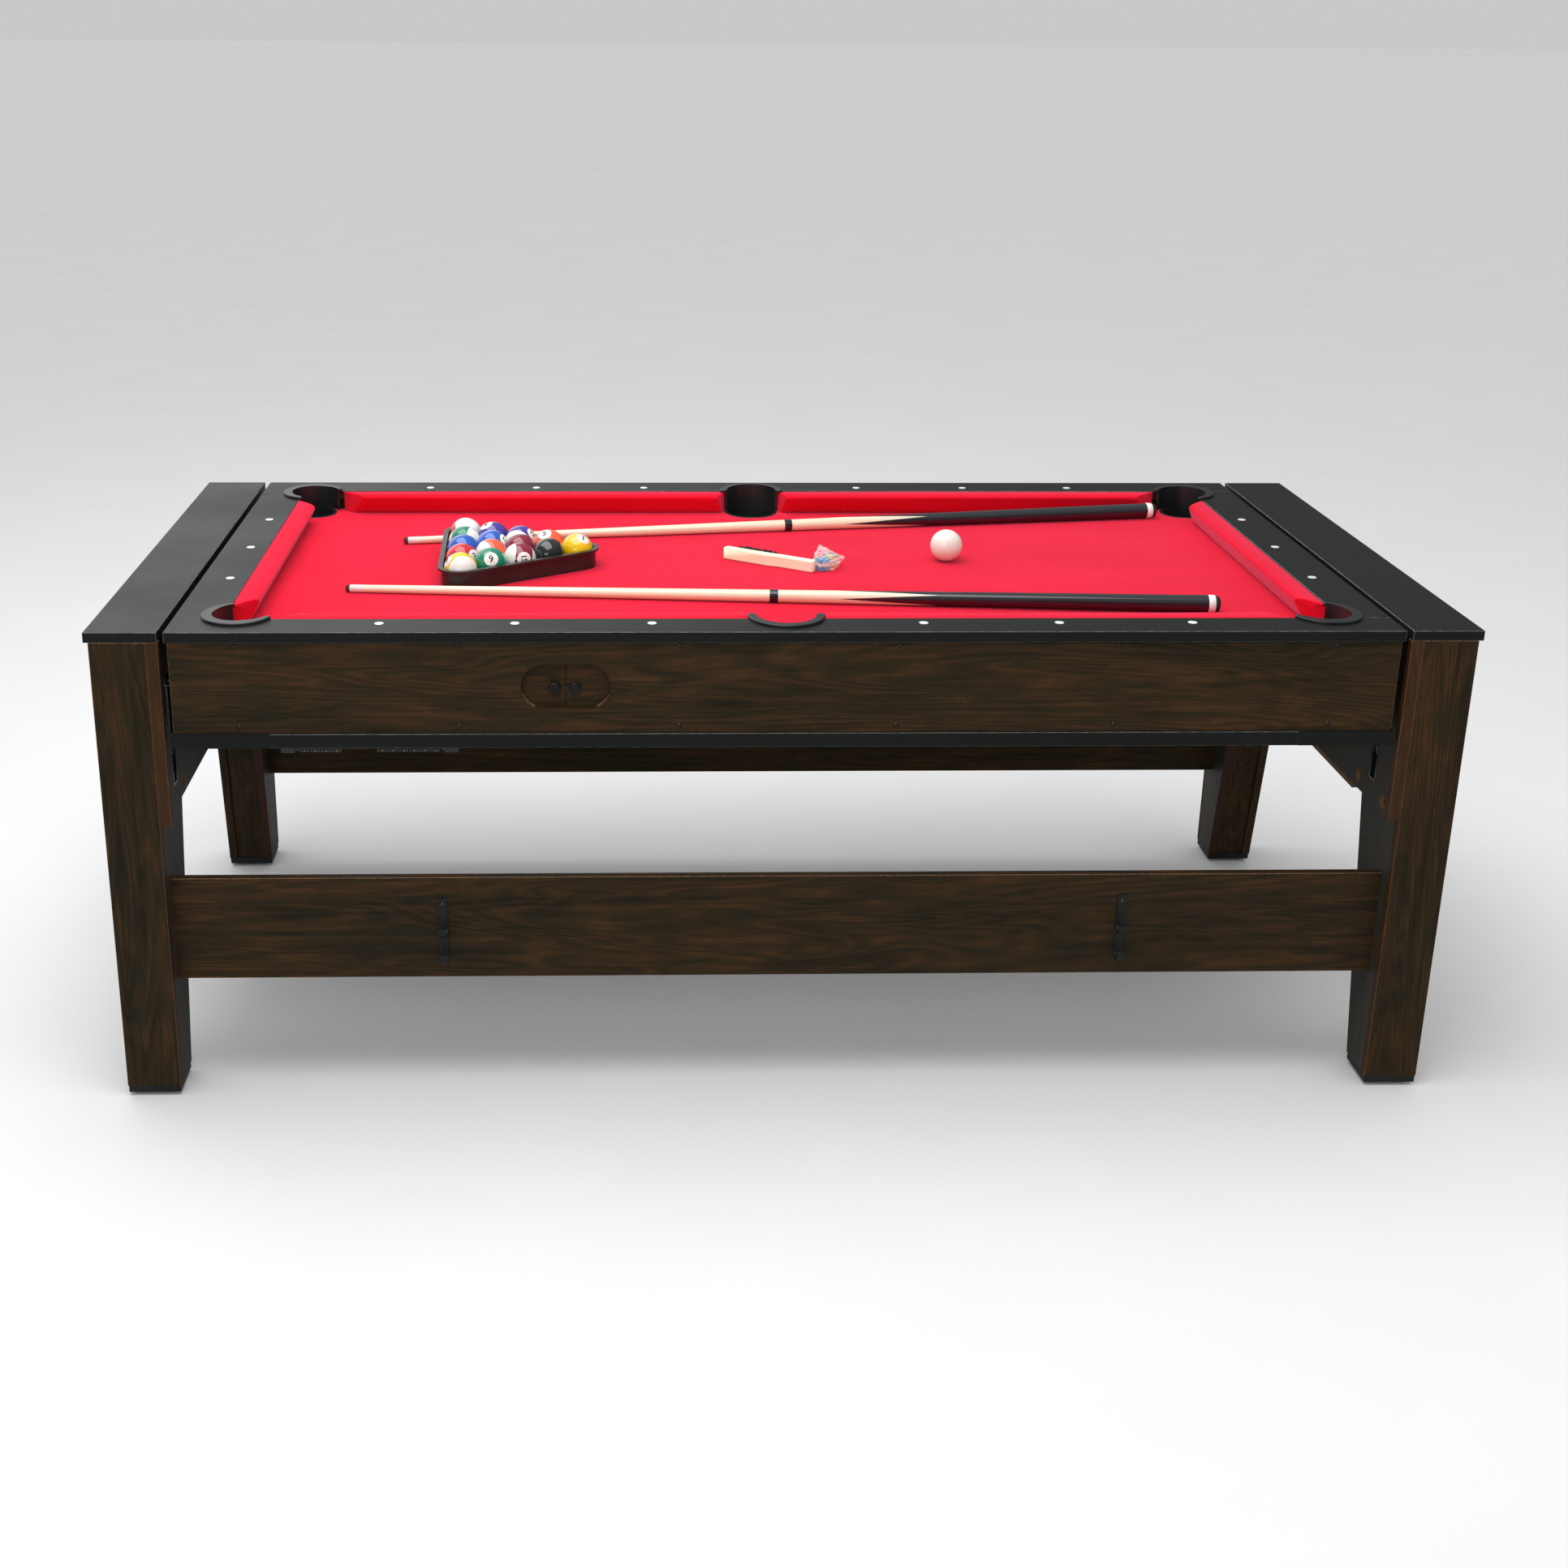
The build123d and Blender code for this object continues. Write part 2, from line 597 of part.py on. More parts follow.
def cabinet_ends():
    """End boards with the bores that the lock pins enter, for either side up."""
    ends = []
    for s in SIDES:
        end = block(sorted((s * (APRON_X - BOARD), s * APRON_X)),
                    (-APRON_Y + BOARD, APRON_Y - BOARD), APRON_Z)
        for y, z in ((-PIN_Y, PIN_Z), (PIN_Y, 2 * PIVOT_Z - PIN_Z)):
            end -= rod_x(y, z, PIN_R + 1, s * (APRON_X - BOARD - 1), s * (APRON_X + 1))
        ends.append(end)
    return ends


SCREW_X = (168.0, 505.0, 840.0)
SCREW_Z = (770.5, 641.0)
END_SCREW_X = 935.5
END_SCREW_Z = (752.0, 656.5)
END_SCREW_R = 2.5
END_SCREW_HEIGHT = 1.5


def apron_screws():
    """Black screw heads on both aprons."""
    heads = []
    for out in SIDES:
        face = out * APRON_Y
        for s in SIDES:
            heads += [dome_y(s * x, z, SCREW_R, face, SCREW_HEIGHT, out) for x in SCREW_X for z in SCREW_Z]
            heads += [dome_y(s * END_SCREW_X, z, END_SCREW_R, face, END_SCREW_HEIGHT, out)
                      for z in END_SCREW_Z]
    return heads


PLENUM_Z = (650.0, 653.0)
RIB_X = (170.0, 520.0)
BLOWER_X = 345.0
BLOWER_HOLE_R = 45.0


def inner_frame():
    """Hidden frame: battens behind the rink, the plenum board, ribs, and rail battens."""
    inside_x, inside_y = APRON_X - BOARD, APRON_Y - BOARD
    low = HOCKEY_BED_Z + HOCKEY_BED
    batten = 20.0
    pieces = []
    for s in SIDES:
        pieces.append(block((-inside_x, inside_x), sorted((s * (inside_y - batten), s * inside_y)),
                            (low, PLENUM_Z[0])))
        for t in SIDES:
            pieces.append(block(sorted((s * (inside_x - batten), s * inside_x)),
                                sorted((t * (GOAL_Y + 4), t * (inside_y - batten))), (low, PLENUM_Z[0])))
    for x in (-600.0, -200.0, 200.0, 600.0):
        pieces.append(block((x - batten / 2, x + batten / 2), (-inside_y + batten, inside_y - batten),
                            (low, PLENUM_Z[0])))
    plenum = block((-GOAL_BOX_X[0] + 6, GOAL_BOX_X[0] - 6), (-inside_y, inside_y), PLENUM_Z)
    pieces.append(plenum - rod_z(BLOWER_X, 0, BLOWER_HOLE_R, PLENUM_Z[0] - 1, PLENUM_Z[1] + 1))
    for x in RIB_X:
        for s in SIDES:
            pieces.append(block(sorted((s * x, s * (x + BOARD))), (-inside_y, inside_y),
                                (PLENUM_Z[1], BED_TOP - BED_THICK)))
    rail_z = (BED_TOP, RAIL_TOP - POOL_RAIL)
    bores = pocket_bores(FIT, rail_z[0] - 1, rail_z[1] + 1)
    for s in SIDES:
        long_batten = block((-inside_x, inside_x), sorted((s * (CLOTH_Y + 1), s * inside_y)), rail_z)
        end_batten = block(sorted((s * (CLOTH_X + 1), s * inside_x)), (-CLOTH_Y - 1, CLOTH_Y + 1), rail_z)
        pieces += [long_batten - bores, end_batten - bores]
    return pieces


def pivot_flange():
    """Flange and shaft fixed to the cabinet end, turning in the stand's bush."""
    flange = rod_x(0, PIVOT_Z, 32, APRON_X, APRON_X + 5)
    flange = chamfer(flange.edges().sort_by(Axis.X)[-1], 1.0)
    return flange + rod_x(0, PIVOT_Z, SHAFT_R, APRON_X + 4, LEG_INNER_X + BOARD + 8)


# ---------------------------------------------------------------- air hockey side
def rounded_opening(grow, z0, z1):
    """Solid that fills the rink opening, grown outwards by grow."""
    sketch = Rectangle(2 * (RINK_X + grow), 2 * (RINK_Y + grow))
    sketch = fillet(sketch.vertices(), RINK_R + grow)
    return extrude(Pos(0, 0, z0) * sketch, amount=z1 - z0)


def hockey_rails():
    """Straight rails, with goal slots under the end ones, and four separate corner pieces."""
    z = (CAB_BOTTOM, HOCKEY_BED_Z)
    straights = []
    for s in SIDES:
        straights.append(board((-SEAM_X, SEAM_X), sorted((s * RINK_Y, s * WIDTH / 2)), z))
        end = board(sorted((s * RINK_X, s * CAB_X)), (-SEAM_Y, SEAM_Y), z)
        slot = block(sorted((s * (RINK_X - 1), s * (GOAL_BOX_X[1] + 1))), (-GOAL_Y, GOAL_Y),
                     (HOCKEY_BED_Z - GOAL_HEIGHT, HOCKEY_BED_Z + 1))
        straights.append(end - slot)
    opening = rounded_opening(0, z[0] - 1, z[1] + 1)
    corners = [block(sorted((sx * SEAM_X, sx * CAB_X)), sorted((sy * SEAM_Y, sy * WIDTH / 2)), z) - opening
               for sx in SIDES for sy in SIDES]
    return straights, corners


def hockey_bed():
    inside_x, inside_y = APRON_X - BOARD, APRON_Y - BOARD
    bed = block((-inside_x, inside_x), (-inside_y, inside_y), (HOCKEY_BED_Z, HOCKEY_BED_Z + HOCKEY_BED))
    for s in SIDES:
        bed -= block(sorted((s * (GOAL_BOX_X[0] + 2), s * (GOAL_BOX_X[1] - 2))), (-GOAL_Y + 4, GOAL_Y - 4),
                     (HOCKEY_BED_Z - 1, HOCKEY_BED_Z + HOCKEY_BED + 1))
    return bed


def rink_walls():
    """Red strips at the foot of the rink wall, open at the goals."""
    z = (HOCKEY_BED_Z - WALL_STRIP_HEIGHT, HOCKEY_BED_Z)
    ring = rounded_opening(0, *z) - rounded_opening(-WALL_STRIP, z[0] - 1, z[1] + 1)
    return ring - block((-LENGTH, LENGTH), (-GOAL_Y, GOAL_Y), z)


def goal_box(s):
    """Tray behind a goal slot that catches the puck."""
    z = (HOCKEY_BED_Z + HOCKEY_BED, GOAL_BOX_TOP)
    wall = 2.0
    tray = block(sorted((s * GOAL_BOX_X[0], s * GOAL_BOX_X[1])), (-GOAL_Y + 2, GOAL_Y - 2), z)
    return tray - block(sorted((s * (GOAL_BOX_X[0] + wall), s * (GOAL_BOX_X[1] - wall))),
                        (-GOAL_Y + 4, GOAL_Y - 4), (z[0] - 1, z[1] - wall))


BLOWER_R = 70.0
BLOWER_Z = (PLENUM_Z[1], 715.0)
MOTOR_TOP = 737.0
MOTOR_R = 30.0
SPINDLE_R = 4.0
VENTS = 3
VENT_AT = 48.0
VENT_R = 13.0
WHEEL_R = 58.0
HUB_R = 12.0
BLADES = 12
BLADE = (26.0, 2.0)         # radial length and thickness


def blower_housing():
    """Round fan case open towards the plenum, with an intake ring round the motor."""
    wall = 2.5
    case = rod_z(BLOWER_X, 0, BLOWER_R, *BLOWER_Z)
    case -= rod_z(BLOWER_X, 0, BLOWER_R - wall, BLOWER_Z[0] + wall, BLOWER_Z[1] - wall)
    case -= rod_z(BLOWER_X, 0, BLOWER_HOLE_R, BLOWER_Z[0] - 1, BLOWER_Z[0] + wall + 1)
    for i in range(VENTS):
        angle = radians(360 * i / VENTS)
        x, y = BLOWER_X + VENT_AT * cos(angle), VENT_AT * sin(angle)
        case -= rod_z(x, y, VENT_R, BLOWER_Z[1] - wall - 1, BLOWER_Z[1] + 1)
    case += rod_z(BLOWER_X, 0, MOTOR_R, BLOWER_Z[1], MOTOR_TOP)
    return case - rod_z(BLOWER_X, 0, SPINDLE_R + RUNNING, BLOWER_Z[0], MOTOR_TOP - 5)


def blower_impeller():
    """Fan wheel with radial blades on a short spindle."""
    low, high = BLOWER_Z[0] + 8, BLOWER_Z[1] - 10
    wheel = rod_z(BLOWER_X, 0, WHEEL_R, high - 3, high) + rod_z(BLOWER_X, 0, HUB_R, low, high)
    for i in range(BLADES):
        blade = Pos(WHEEL_R - 1 - BLADE[0] / 2, 0, (low + high) / 2) * Box(*BLADE, high - low)
        wheel += Pos(BLOWER_X, 0, 0) * Rot(0, 0, 360 * i / BLADES) * blade
    return wheel + rod_z(BLOWER_X, 0, SPINDLE_R, high - 1, MOTOR_TOP - 8)


# scorers: a rod with ten beads on each long side, on the air hockey face
SCORER_LENGTH = 275.0
SCORER_Y = 439.0
ROD_Z = CAB_BOTTOM - 11.0
POST = 22.0
MARKER = 5.0
BEAD_HALF = 8.2
BEAD_ROUND = 3.5
BEAD_GAP = 0.6
BEAD_DIMPLE_R = 14.0
BEAD_DIMPLE = 1.2
BEAD_BORE_R = ROD_R + RUNNING
SCORERS = (("front", 550.0, SCORER_Y, 8), ("rear", -784.0, -SCORER_Y, 4))


def bead_group(x, y, count):
    """A run of square beads on the rod, starting at x, each with a finger dimple on its outer side."""
    out = y / abs(y)
    beads = []
    for i in range(count):
        x0 = x + BEAD_PITCH * i + BEAD_GAP / 2
        x1 = x0 + BEAD_PITCH - BEAD_GAP
        half = BEAD_HALF
        bead = block((x0, x1), (y - half, y + half), (ROD_Z - half, ROD_Z + half))
        bead = fillet(bead.edges().filter_by(Axis.X), BEAD_ROUND)
        bead = chamfer(bead.edges().group_by(Axis.X)[0] + bead.edges().group_by(Axis.X)[-1], 0.6)
        dimple = Pos((x0 + x1) / 2, y + out * (half + BEAD_DIMPLE_R - BEAD_DIMPLE), ROD_Z)
        bead -= dimple * Sphere(BEAD_DIMPLE_R)
        beads.append(bead - rod_x(y, ROD_Z, BEAD_BORE_R, x0 - 1, x1 + 1))
    return beads


def scorer_frame(x, y):
    """End posts, marker rings and rod of one scorer."""
    pieces = []
    for x0 in (x, x + SCORER_LENGTH - POST):
        post = block((x0, x0 + POST), (y - 9, y + 9), (ROD_Z - 9, CAB_BOTTOM))
        pieces.append(fillet(post.edges().group_by(Axis.Z)[0], 3.0))
    frame = pieces[0] + pieces[1]
    frame += rod_x(y, ROD_Z, ROD_R, x + POST - 1, x + SCORER_LENGTH - POST + 1)
    for x0 in (x + POST, x + SCORER_LENGTH - POST - MARKER):
        frame += rod_x(y, ROD_Z, BEAD_HALF - 1, x0, x0 + MARKER)
    return frame


def build_cabinet():
    long_rails, end_rails = pool_rails()
    save("pool_rails_long", *long_rails)
    save("pool_rails_end", *end_rails)
    save("pool_bed", pool_bed())
    save("pool_cloth", pool_cloth())
    save("cushions", *cushions())
    save("corner_pockets", *corner_pockets())
    save("side_pockets", *side_pockets())
    save("rail_sights", *rail_sights())
    save("apron_front", apron_front())
    save("apron_rear", apron_rear())
    save("hatch_door_left", hatch_door(-1))
    save("hatch_door_right", hatch_door(1))
    save("hatch_knob_left", hatch_knob(KNOB_X[0]))
    save("hatch_knob_right", hatch_knob(KNOB_X[1]))
    save("storage_box", *storage_box())
    save("cabinet_ends", *cabinet_ends())
    save("apron_screws", *apron_screws())
    save("inner_frame", *inner_frame())
    save("pivot_flanges", pivot_flange(), mirrored_x(pivot_flange()))
    straights, corners = hockey_rails()
    save("hockey_rails", *straights)
    save("hockey_corners", *corners)
    save("hockey_bed", hockey_bed())
    save("rink_walls", rink_walls())
    save("goal_boxes", goal_box(-1), goal_box(1))
    save("blower_housing", blower_housing())
    save("blower_impeller", blower_impeller())
    save("scorer_frames", *[scorer_frame(x, y) for _, x, y, _ in SCORERS])
    room = SCORER_LENGTH - 2 * (POST + MARKER)
    for name, x, y, first in SCORERS:
        start = x + POST + MARKER
        save(f"beads_{name}_a", *bead_group(start + 1, y, first))
        second = 10 - first
        save(f"beads_{name}_b", *bead_group(start + room - 1 - second * BEAD_PITCH, y, second))


# ---------------------------------------------------------------- playing set
RACK_BASE = (-531.0, 13.0)           # middle of the row of five balls
RACK_TURN = 2.0                     # degrees, about that point
RACK_HEIGHT = 34.0
RACK_WALL = 3.0
RACK_FLANGE = 5.5
RACK_CLEAR = 1.5
BALL_GAP = 0.15
REST_GAP = 0.1                      # lift of loose pieces off the cloth
CUES = (("cue_a", (-651.0, 158.5), (779.0, 350.0)), ("cue_b", (-717.0, -142.0), (719.0, -262.0)))
CUE_TIP_R = 6.5
CUE_BUTT_R = 14.5
CUE_BALL_AT = (324.0, 47.0)


def ball_places():
    """Centres of fifteen touching balls in a triangle that points along +X."""
    step = 2 * BALL_R + BALL_GAP
    turn = radians(RACK_TURN)
    places = []
    for row in range(5):
        for i in range(5 - row):
            x = row * step * sqrt(3) / 2
            y = (i - (4 - row) / 2) * step
            places.append((RACK_BASE[0] + x * cos(turn) - y * sin(turn),
                           RACK_BASE[1] + x * sin(turn) + y * cos(turn)))
    return places


def rounded_triangle(grow, z0, z1):
    """Triangle round the balls, its corners following the corner balls, grown by grow."""
    places = ball_places()
    corners = [places[0], places[4], places[14]]
    radius = BALL_R + grow
    hull = prism_z(corners, z0, z1)
    for i in range(3):
        (ax, ay), (bx, by) = corners[i], corners[(i + 1) % 3]
        length = hypot(bx - ax, by - ay)
        nx, ny = -(by - ay) / length * radius, (bx - ax) / length * radius
        hull += prism_z([(ax, ay), (ax + nx, ay + ny), (bx + nx, by + ny), (bx, by)], z0, z1)
        hull += rod_z(ax, ay, radius, z0, z1)
    return hull


def ball_rack():
    """Moulded triangle with a rolled top edge."""
    low = CLOTH_TOP + REST_GAP
    high = low + RACK_HEIGHT
    rack = rounded_triangle(RACK_CLEAR + RACK_WALL, low, high)
    rack += rounded_triangle(RACK_CLEAR + RACK_WALL + RACK_FLANGE, high - 4, high)
    return rack - rounded_triangle(RACK_CLEAR, low - 1, high + 1)


def object_balls():
    z = CLOTH_TOP + REST_GAP + BALL_R
    return [Pos(x, y, z) * Sphere(BALL_R) for x, y in ball_places()]


def cue_ball():
    return Pos(CUE_BALL_AT[0], CUE_BALL_AT[1], CLOTH_TOP + REST_GAP + BALL_R) * Sphere(BALL_R)


def cue(tip, butt):
    """One tapered cue lying on the cloth."""
    profile = [(0, 0), (CUE_TIP_R - 1.5, 0), (CUE_TIP_R, 2), (CUE_TIP_R, 30),
               (CUE_BUTT_R, CUE_LENGTH - 20), (CUE_BUTT_R, CUE_LENGTH - 3),
               (CUE_BUTT_R - 3, CUE_LENGTH), (0, CUE_LENGTH)]
    face = make_face(Polyline([(r, 0, along) for r, along in profile], close=True))
    solid = revolve(face, Axis.Z)
    heading = degrees(atan2(butt[1] - tip[1], butt[0] - tip[0]))
    slope = degrees(atan2(CUE_BUTT_R - CUE_TIP_R, CUE_LENGTH - 50))
    lift = CLOTH_TOP + REST_GAP + CUE_TIP_R + 0.2
    return Pos(tip[0], tip[1], lift) * Rot(0, 0, heading) * Rot(0, 90 - slope, 0) * solid


BRUSH_AT = (6.0, 18.0)
BRUSH_TURN = -33.4
BRUSH_LENGTH = 178.0
CHALK_AT = (103.0, 2.0)
CHALK_SIZE = 21.0


def cloth_brush():
    """Table brush on its side: a wooden handle with a narrow grip, and a block of bristles."""
    low = CLOTH_TOP + REST_GAP
    half = BRUSH_LENGTH / 2
    handle = prism_z([(-half, -9), (8, -9), (20, -5), (half, -5), (half, 9), (20, 9), (8, 7), (-half, 7)],
                     low, low + 22)
    handle = fillet(handle.edges().filter_by(Axis.Z), 2.5)
    bristles = block((-half + 16, 6), (7, 27), (low + 2, low + 20))
    placing = Pos(BRUSH_AT[0], BRUSH_AT[1], 0) * Rot(0, 0, BRUSH_TURN)
    return placing * handle, placing * bristles


def chalk():
    low = CLOTH_TOP + REST_GAP
    pieces = []
    for dx, dy, turn in ((-5, -12, 20), (10, 12, 48)):
        cube = Pos(0, 0, low + CHALK_SIZE / 2) * Box(CHALK_SIZE, CHALK_SIZE, CHALK_SIZE)
        pieces.append(Pos(CHALK_AT[0] + dx, CHALK_AT[1] + dy, 0) * Rot(0, 0, turn) * cube)
    return pieces


def build_playing_set():
    save("ball_rack", ball_rack())
    save("object_balls", *object_balls())
    save("cue_ball", cue_ball())
    for name, tip, butt in CUES:
        save(name, cue(tip, butt))
    save("cloth_brush", *cloth_brush())
    save("chalk", *chalk())


build_stand()
build_cabinet()
build_playing_set()
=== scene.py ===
"""Looks of the flip-top pool and air hockey table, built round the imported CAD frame."""
import json
import math
import random

import bmesh
import bpy
import numpy as np
from mathutils import Matrix, Vector


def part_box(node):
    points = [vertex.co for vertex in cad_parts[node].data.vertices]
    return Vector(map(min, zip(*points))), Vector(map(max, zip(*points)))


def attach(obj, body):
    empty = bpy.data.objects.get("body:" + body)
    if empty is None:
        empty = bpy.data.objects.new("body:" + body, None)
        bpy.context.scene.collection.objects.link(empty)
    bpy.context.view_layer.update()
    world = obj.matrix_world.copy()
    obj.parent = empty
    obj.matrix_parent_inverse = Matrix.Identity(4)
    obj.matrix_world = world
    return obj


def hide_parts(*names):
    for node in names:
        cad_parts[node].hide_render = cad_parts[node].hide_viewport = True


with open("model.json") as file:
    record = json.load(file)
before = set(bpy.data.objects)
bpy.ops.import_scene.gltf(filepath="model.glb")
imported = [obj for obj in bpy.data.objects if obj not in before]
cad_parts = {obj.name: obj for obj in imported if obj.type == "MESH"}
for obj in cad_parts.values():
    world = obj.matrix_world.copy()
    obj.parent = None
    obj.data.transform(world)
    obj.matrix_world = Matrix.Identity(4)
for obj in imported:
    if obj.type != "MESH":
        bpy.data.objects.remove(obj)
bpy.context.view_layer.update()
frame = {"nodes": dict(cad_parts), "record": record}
nodes = frame["nodes"]
MM = 0.001
PRINT_LIFT = 0.06 * MM      # figures stand this far off the surface they are printed on


# ================================================================ reading the frame
def solids(node):
    """Vertex positions of each separate solid in a CAD node, one array per solid, from left to right."""
    mesh = bmesh.new()
    mesh.from_mesh(nodes[node].data)
    bmesh.ops.remove_doubles(mesh, verts=mesh.verts, dist=1e-6)
    seen, found = set(), []
    for start in mesh.verts:
        if start in seen:
            continue
        seen.add(start)
        stack, points = [start], []
        while stack:
            vert = stack.pop()
            points.append(vert.co[:])
            for edge in vert.link_edges:
                other = edge.other_vert(vert)
                if other not in seen:
                    seen.add(other)
                    stack.append(other)
        found.append(np.array(points))
    mesh.free()
    return sorted(found, key=lambda p: (round(float(p[:, 0].mean()), 4), float(p[:, 1].mean())))


def middle(points):
    return Vector((points.min(0) + points.max(0)) / 2)


def long_axis(points):
    """Middle of a long solid and the direction it runs in."""
    centre = points.mean(0)
    axis = np.linalg.svd(points - centre, full_matrices=False)[2][0]
    return centre, axis


# ================================================================ material graphs
class Graph:
    """A material's node tree, with short calls for the nodes used here."""

    def __init__(self, name):
        self.material = bpy.data.materials.new(name)
        self.material.use_nodes = True
        self.tree = self.material.node_tree
        self.bsdf = self.tree.nodes["Principled BSDF"]
        self.at = self.add("ShaderNodeTexCoord").outputs["Object"]

    def add(self, kind, values=None, **settings):
        node = self.tree.nodes.new(kind)
        for key, value in settings.items():
            setattr(node, key, value)
        for key, value in (values or {}).items():
            self.put(node.inputs[key], value)
        return node

    def put(self, socket, value):
        if isinstance(value, bpy.types.NodeSocket):
            self.tree.links.new(value, socket)
        else:
            socket.default_value = value

    def set(self, **values):
        for key, value in values.items():
            self.put(self.bsdf.inputs[key.replace("_", " ").title().replace("Ior", "IOR")], value)

    def math(self, operation, *values):
        node = self.add("ShaderNodeMath", operation=operation)
        for socket, value in zip(node.inputs, values):
            self.put(socket, value)
        return node.outputs[0]

    def split(self, vector):
        return self.add("ShaderNodeSeparateXYZ", {0: vector}).outputs

    def scaled(self, scale, vector=None):
        return self.add("ShaderNodeMapping", {"Vector": vector or self.at, "Scale": scale}).outputs[0]

    def noise(self, vector, scale, detail=3.0, rough=0.5, distortion=0.0):
        values = {"Vector": vector, "Scale": scale, "Detail": detail, "Roughness": rough,
                  "Distortion": distortion}
        return self.add("ShaderNodeTexNoise", values).outputs["Fac"]

    def ramp(self, factor, *stops):
        """Colours by position: each stop is (place, (r, g, b))."""
        node = self.add("ShaderNodeValToRGB", {"Fac": factor})
        elements = node.color_ramp.elements
        while len(elements) < len(stops):
            elements.new(0.5)
        for element, (place, colour) in zip(elements, stops):
            element.position = place
            element.color = (*colour, 1.0)
        return node.outputs["Color"]

    def band(self, value, low, high, start=0.0, end=1.0):
        """Value mapped from low..high to start..end, clamped."""
        return self.add("ShaderNodeMapRange", {0: value, 1: low, 2: high, 3: start, 4: end}).outputs[0]

    def mix(self, factor, first, second, blend="MIX"):
        node = self.add("ShaderNodeMix", data_type="RGBA", blend_type=blend)
        self.put(node.inputs[0], factor)
        for socket, value in ((node.inputs[6], first), (node.inputs[7], second)):
            self.put(socket, value if isinstance(value, bpy.types.NodeSocket) else (*value, 1.0))
        return node.outputs[2]

    def bump(self, height, strength, distance=MM):
        values = {"Height": height, "Strength": strength, "Distance": distance}
        self.set(normal=self.add("ShaderNodeBump", values).outputs[0])

    def broken_edge(self, limit=0.93):
        """1 on chamfers, whose normals lie along no axis, and 0 on flat faces."""
        geometry = self.add("ShaderNodeNewGeometry")
        turn = self.add("ShaderNodeVectorTransform", {0: geometry.outputs["True Normal"]},
                        vector_type="NORMAL", convert_from="WORLD", convert_to="OBJECT")
        axes = [self.math("ABSOLUTE", part) for part in self.split(turn.outputs[0])]
        most = self.math("MAXIMUM", self.math("MAXIMUM", axes[0], axes[1]), axes[2])
        return self.math("LESS_THAN", most, limit), axes


EDGE_TAN = (0.32, 0.17, 0.095)
BOLT_RECESS_R = 11.3 * MM


def walnut(name, grain, lift=1.0, strip=None):
    """Dark walnut foil: soft reddish streaks, faint flame figure, fine fibres, and a rubbed tan arris."""
    g = Graph(name)

    def drawn(along, across):
        """Coordinates scaled one way along the grain and another across it."""
        return g.scaled(tuple(along if axis == grain else across for axis in "XYZ"))

    warp = g.noise(drawn(1, 9), 0.9, 2.0, 0.5, 0.8)
    flame = g.band(g.math("SINE", g.math("MULTIPLY", warp, 150.0)), -1.0, 1.0)
    streak = g.noise(drawn(9, 50), 1.0, 5.0, 0.65, 0.5)
    patch = g.noise(drawn(1.4, 9.0), 1.0, 3.0)
    fibre = g.noise(drawn(7, 560), 1.0, 3.0, 0.65)
    grit = g.noise(g.at, 900.0, 2.0, 0.7)
    mixed = g.math("ADD", g.math("MULTIPLY", flame, 0.07), g.math("MULTIPLY", streak, 0.36))
    mixed = g.math("ADD", mixed, g.math("MULTIPLY", fibre, 0.22))
    mixed = g.math("ADD", mixed, g.math("MULTIPLY", grit, 0.20))
    mixed = g.math("ADD", mixed, g.math("MULTIPLY", patch, 0.18))
    stops = ((0.38, (0.0150, 0.0135, 0.0062)), (0.47, (0.0290, 0.0210, 0.0090)),
             (0.54, (0.0480, 0.0265, 0.0105)), (0.63, (0.0880, 0.0400, 0.0150)))
    colour = g.ramp(mixed, *[(at, tuple(c * lift for c in rgb)) for at, rgb in stops])
    lines = g.band(g.noise(drawn(2, 60), 1.0, 2.0, 0.5, 0.3), 0.60, 0.68)
    colour = g.mix(g.math("MULTIPLY", lines, 0.42), colour, (0.010, 0.009, 0.006))
    edge, _ = g.broken_edge()
    chips = g.band(g.noise(g.at, 240.0, 2.0), 0.40, 0.60, 0.35, 0.95)
    if strip:
        off = g.math("ABSOLUTE", g.math("SUBTRACT", g.math("ABSOLUTE", g.split(g.at)[0]), sum(strip) / 2))
        inside = g.math("LESS_THAN", off, (strip[1] - strip[0]) / 2 + 1.0 * MM)
        colour = g.mix(g.math("MULTIPLY", inside, 0.30), colour, (0.105, 0.034, 0.014))
        chips = g.math("MULTIPLY", chips, g.math("SUBTRACT", 1.0, g.math("MULTIPLY", inside, 0.55)))
    colour = g.mix(g.math("MULTIPLY", edge, chips), colour, EDGE_TAN)
    g.set(base_color=colour, roughness=g.band(streak, 0.3, 0.7, 0.46, 0.58), specular_ior_level=0.14)
    g.bump(g.math("SUBTRACT", fibre, g.math("MULTIPLY", lines, 0.5)), 0.25, 0.10 * MM)
    return g.material


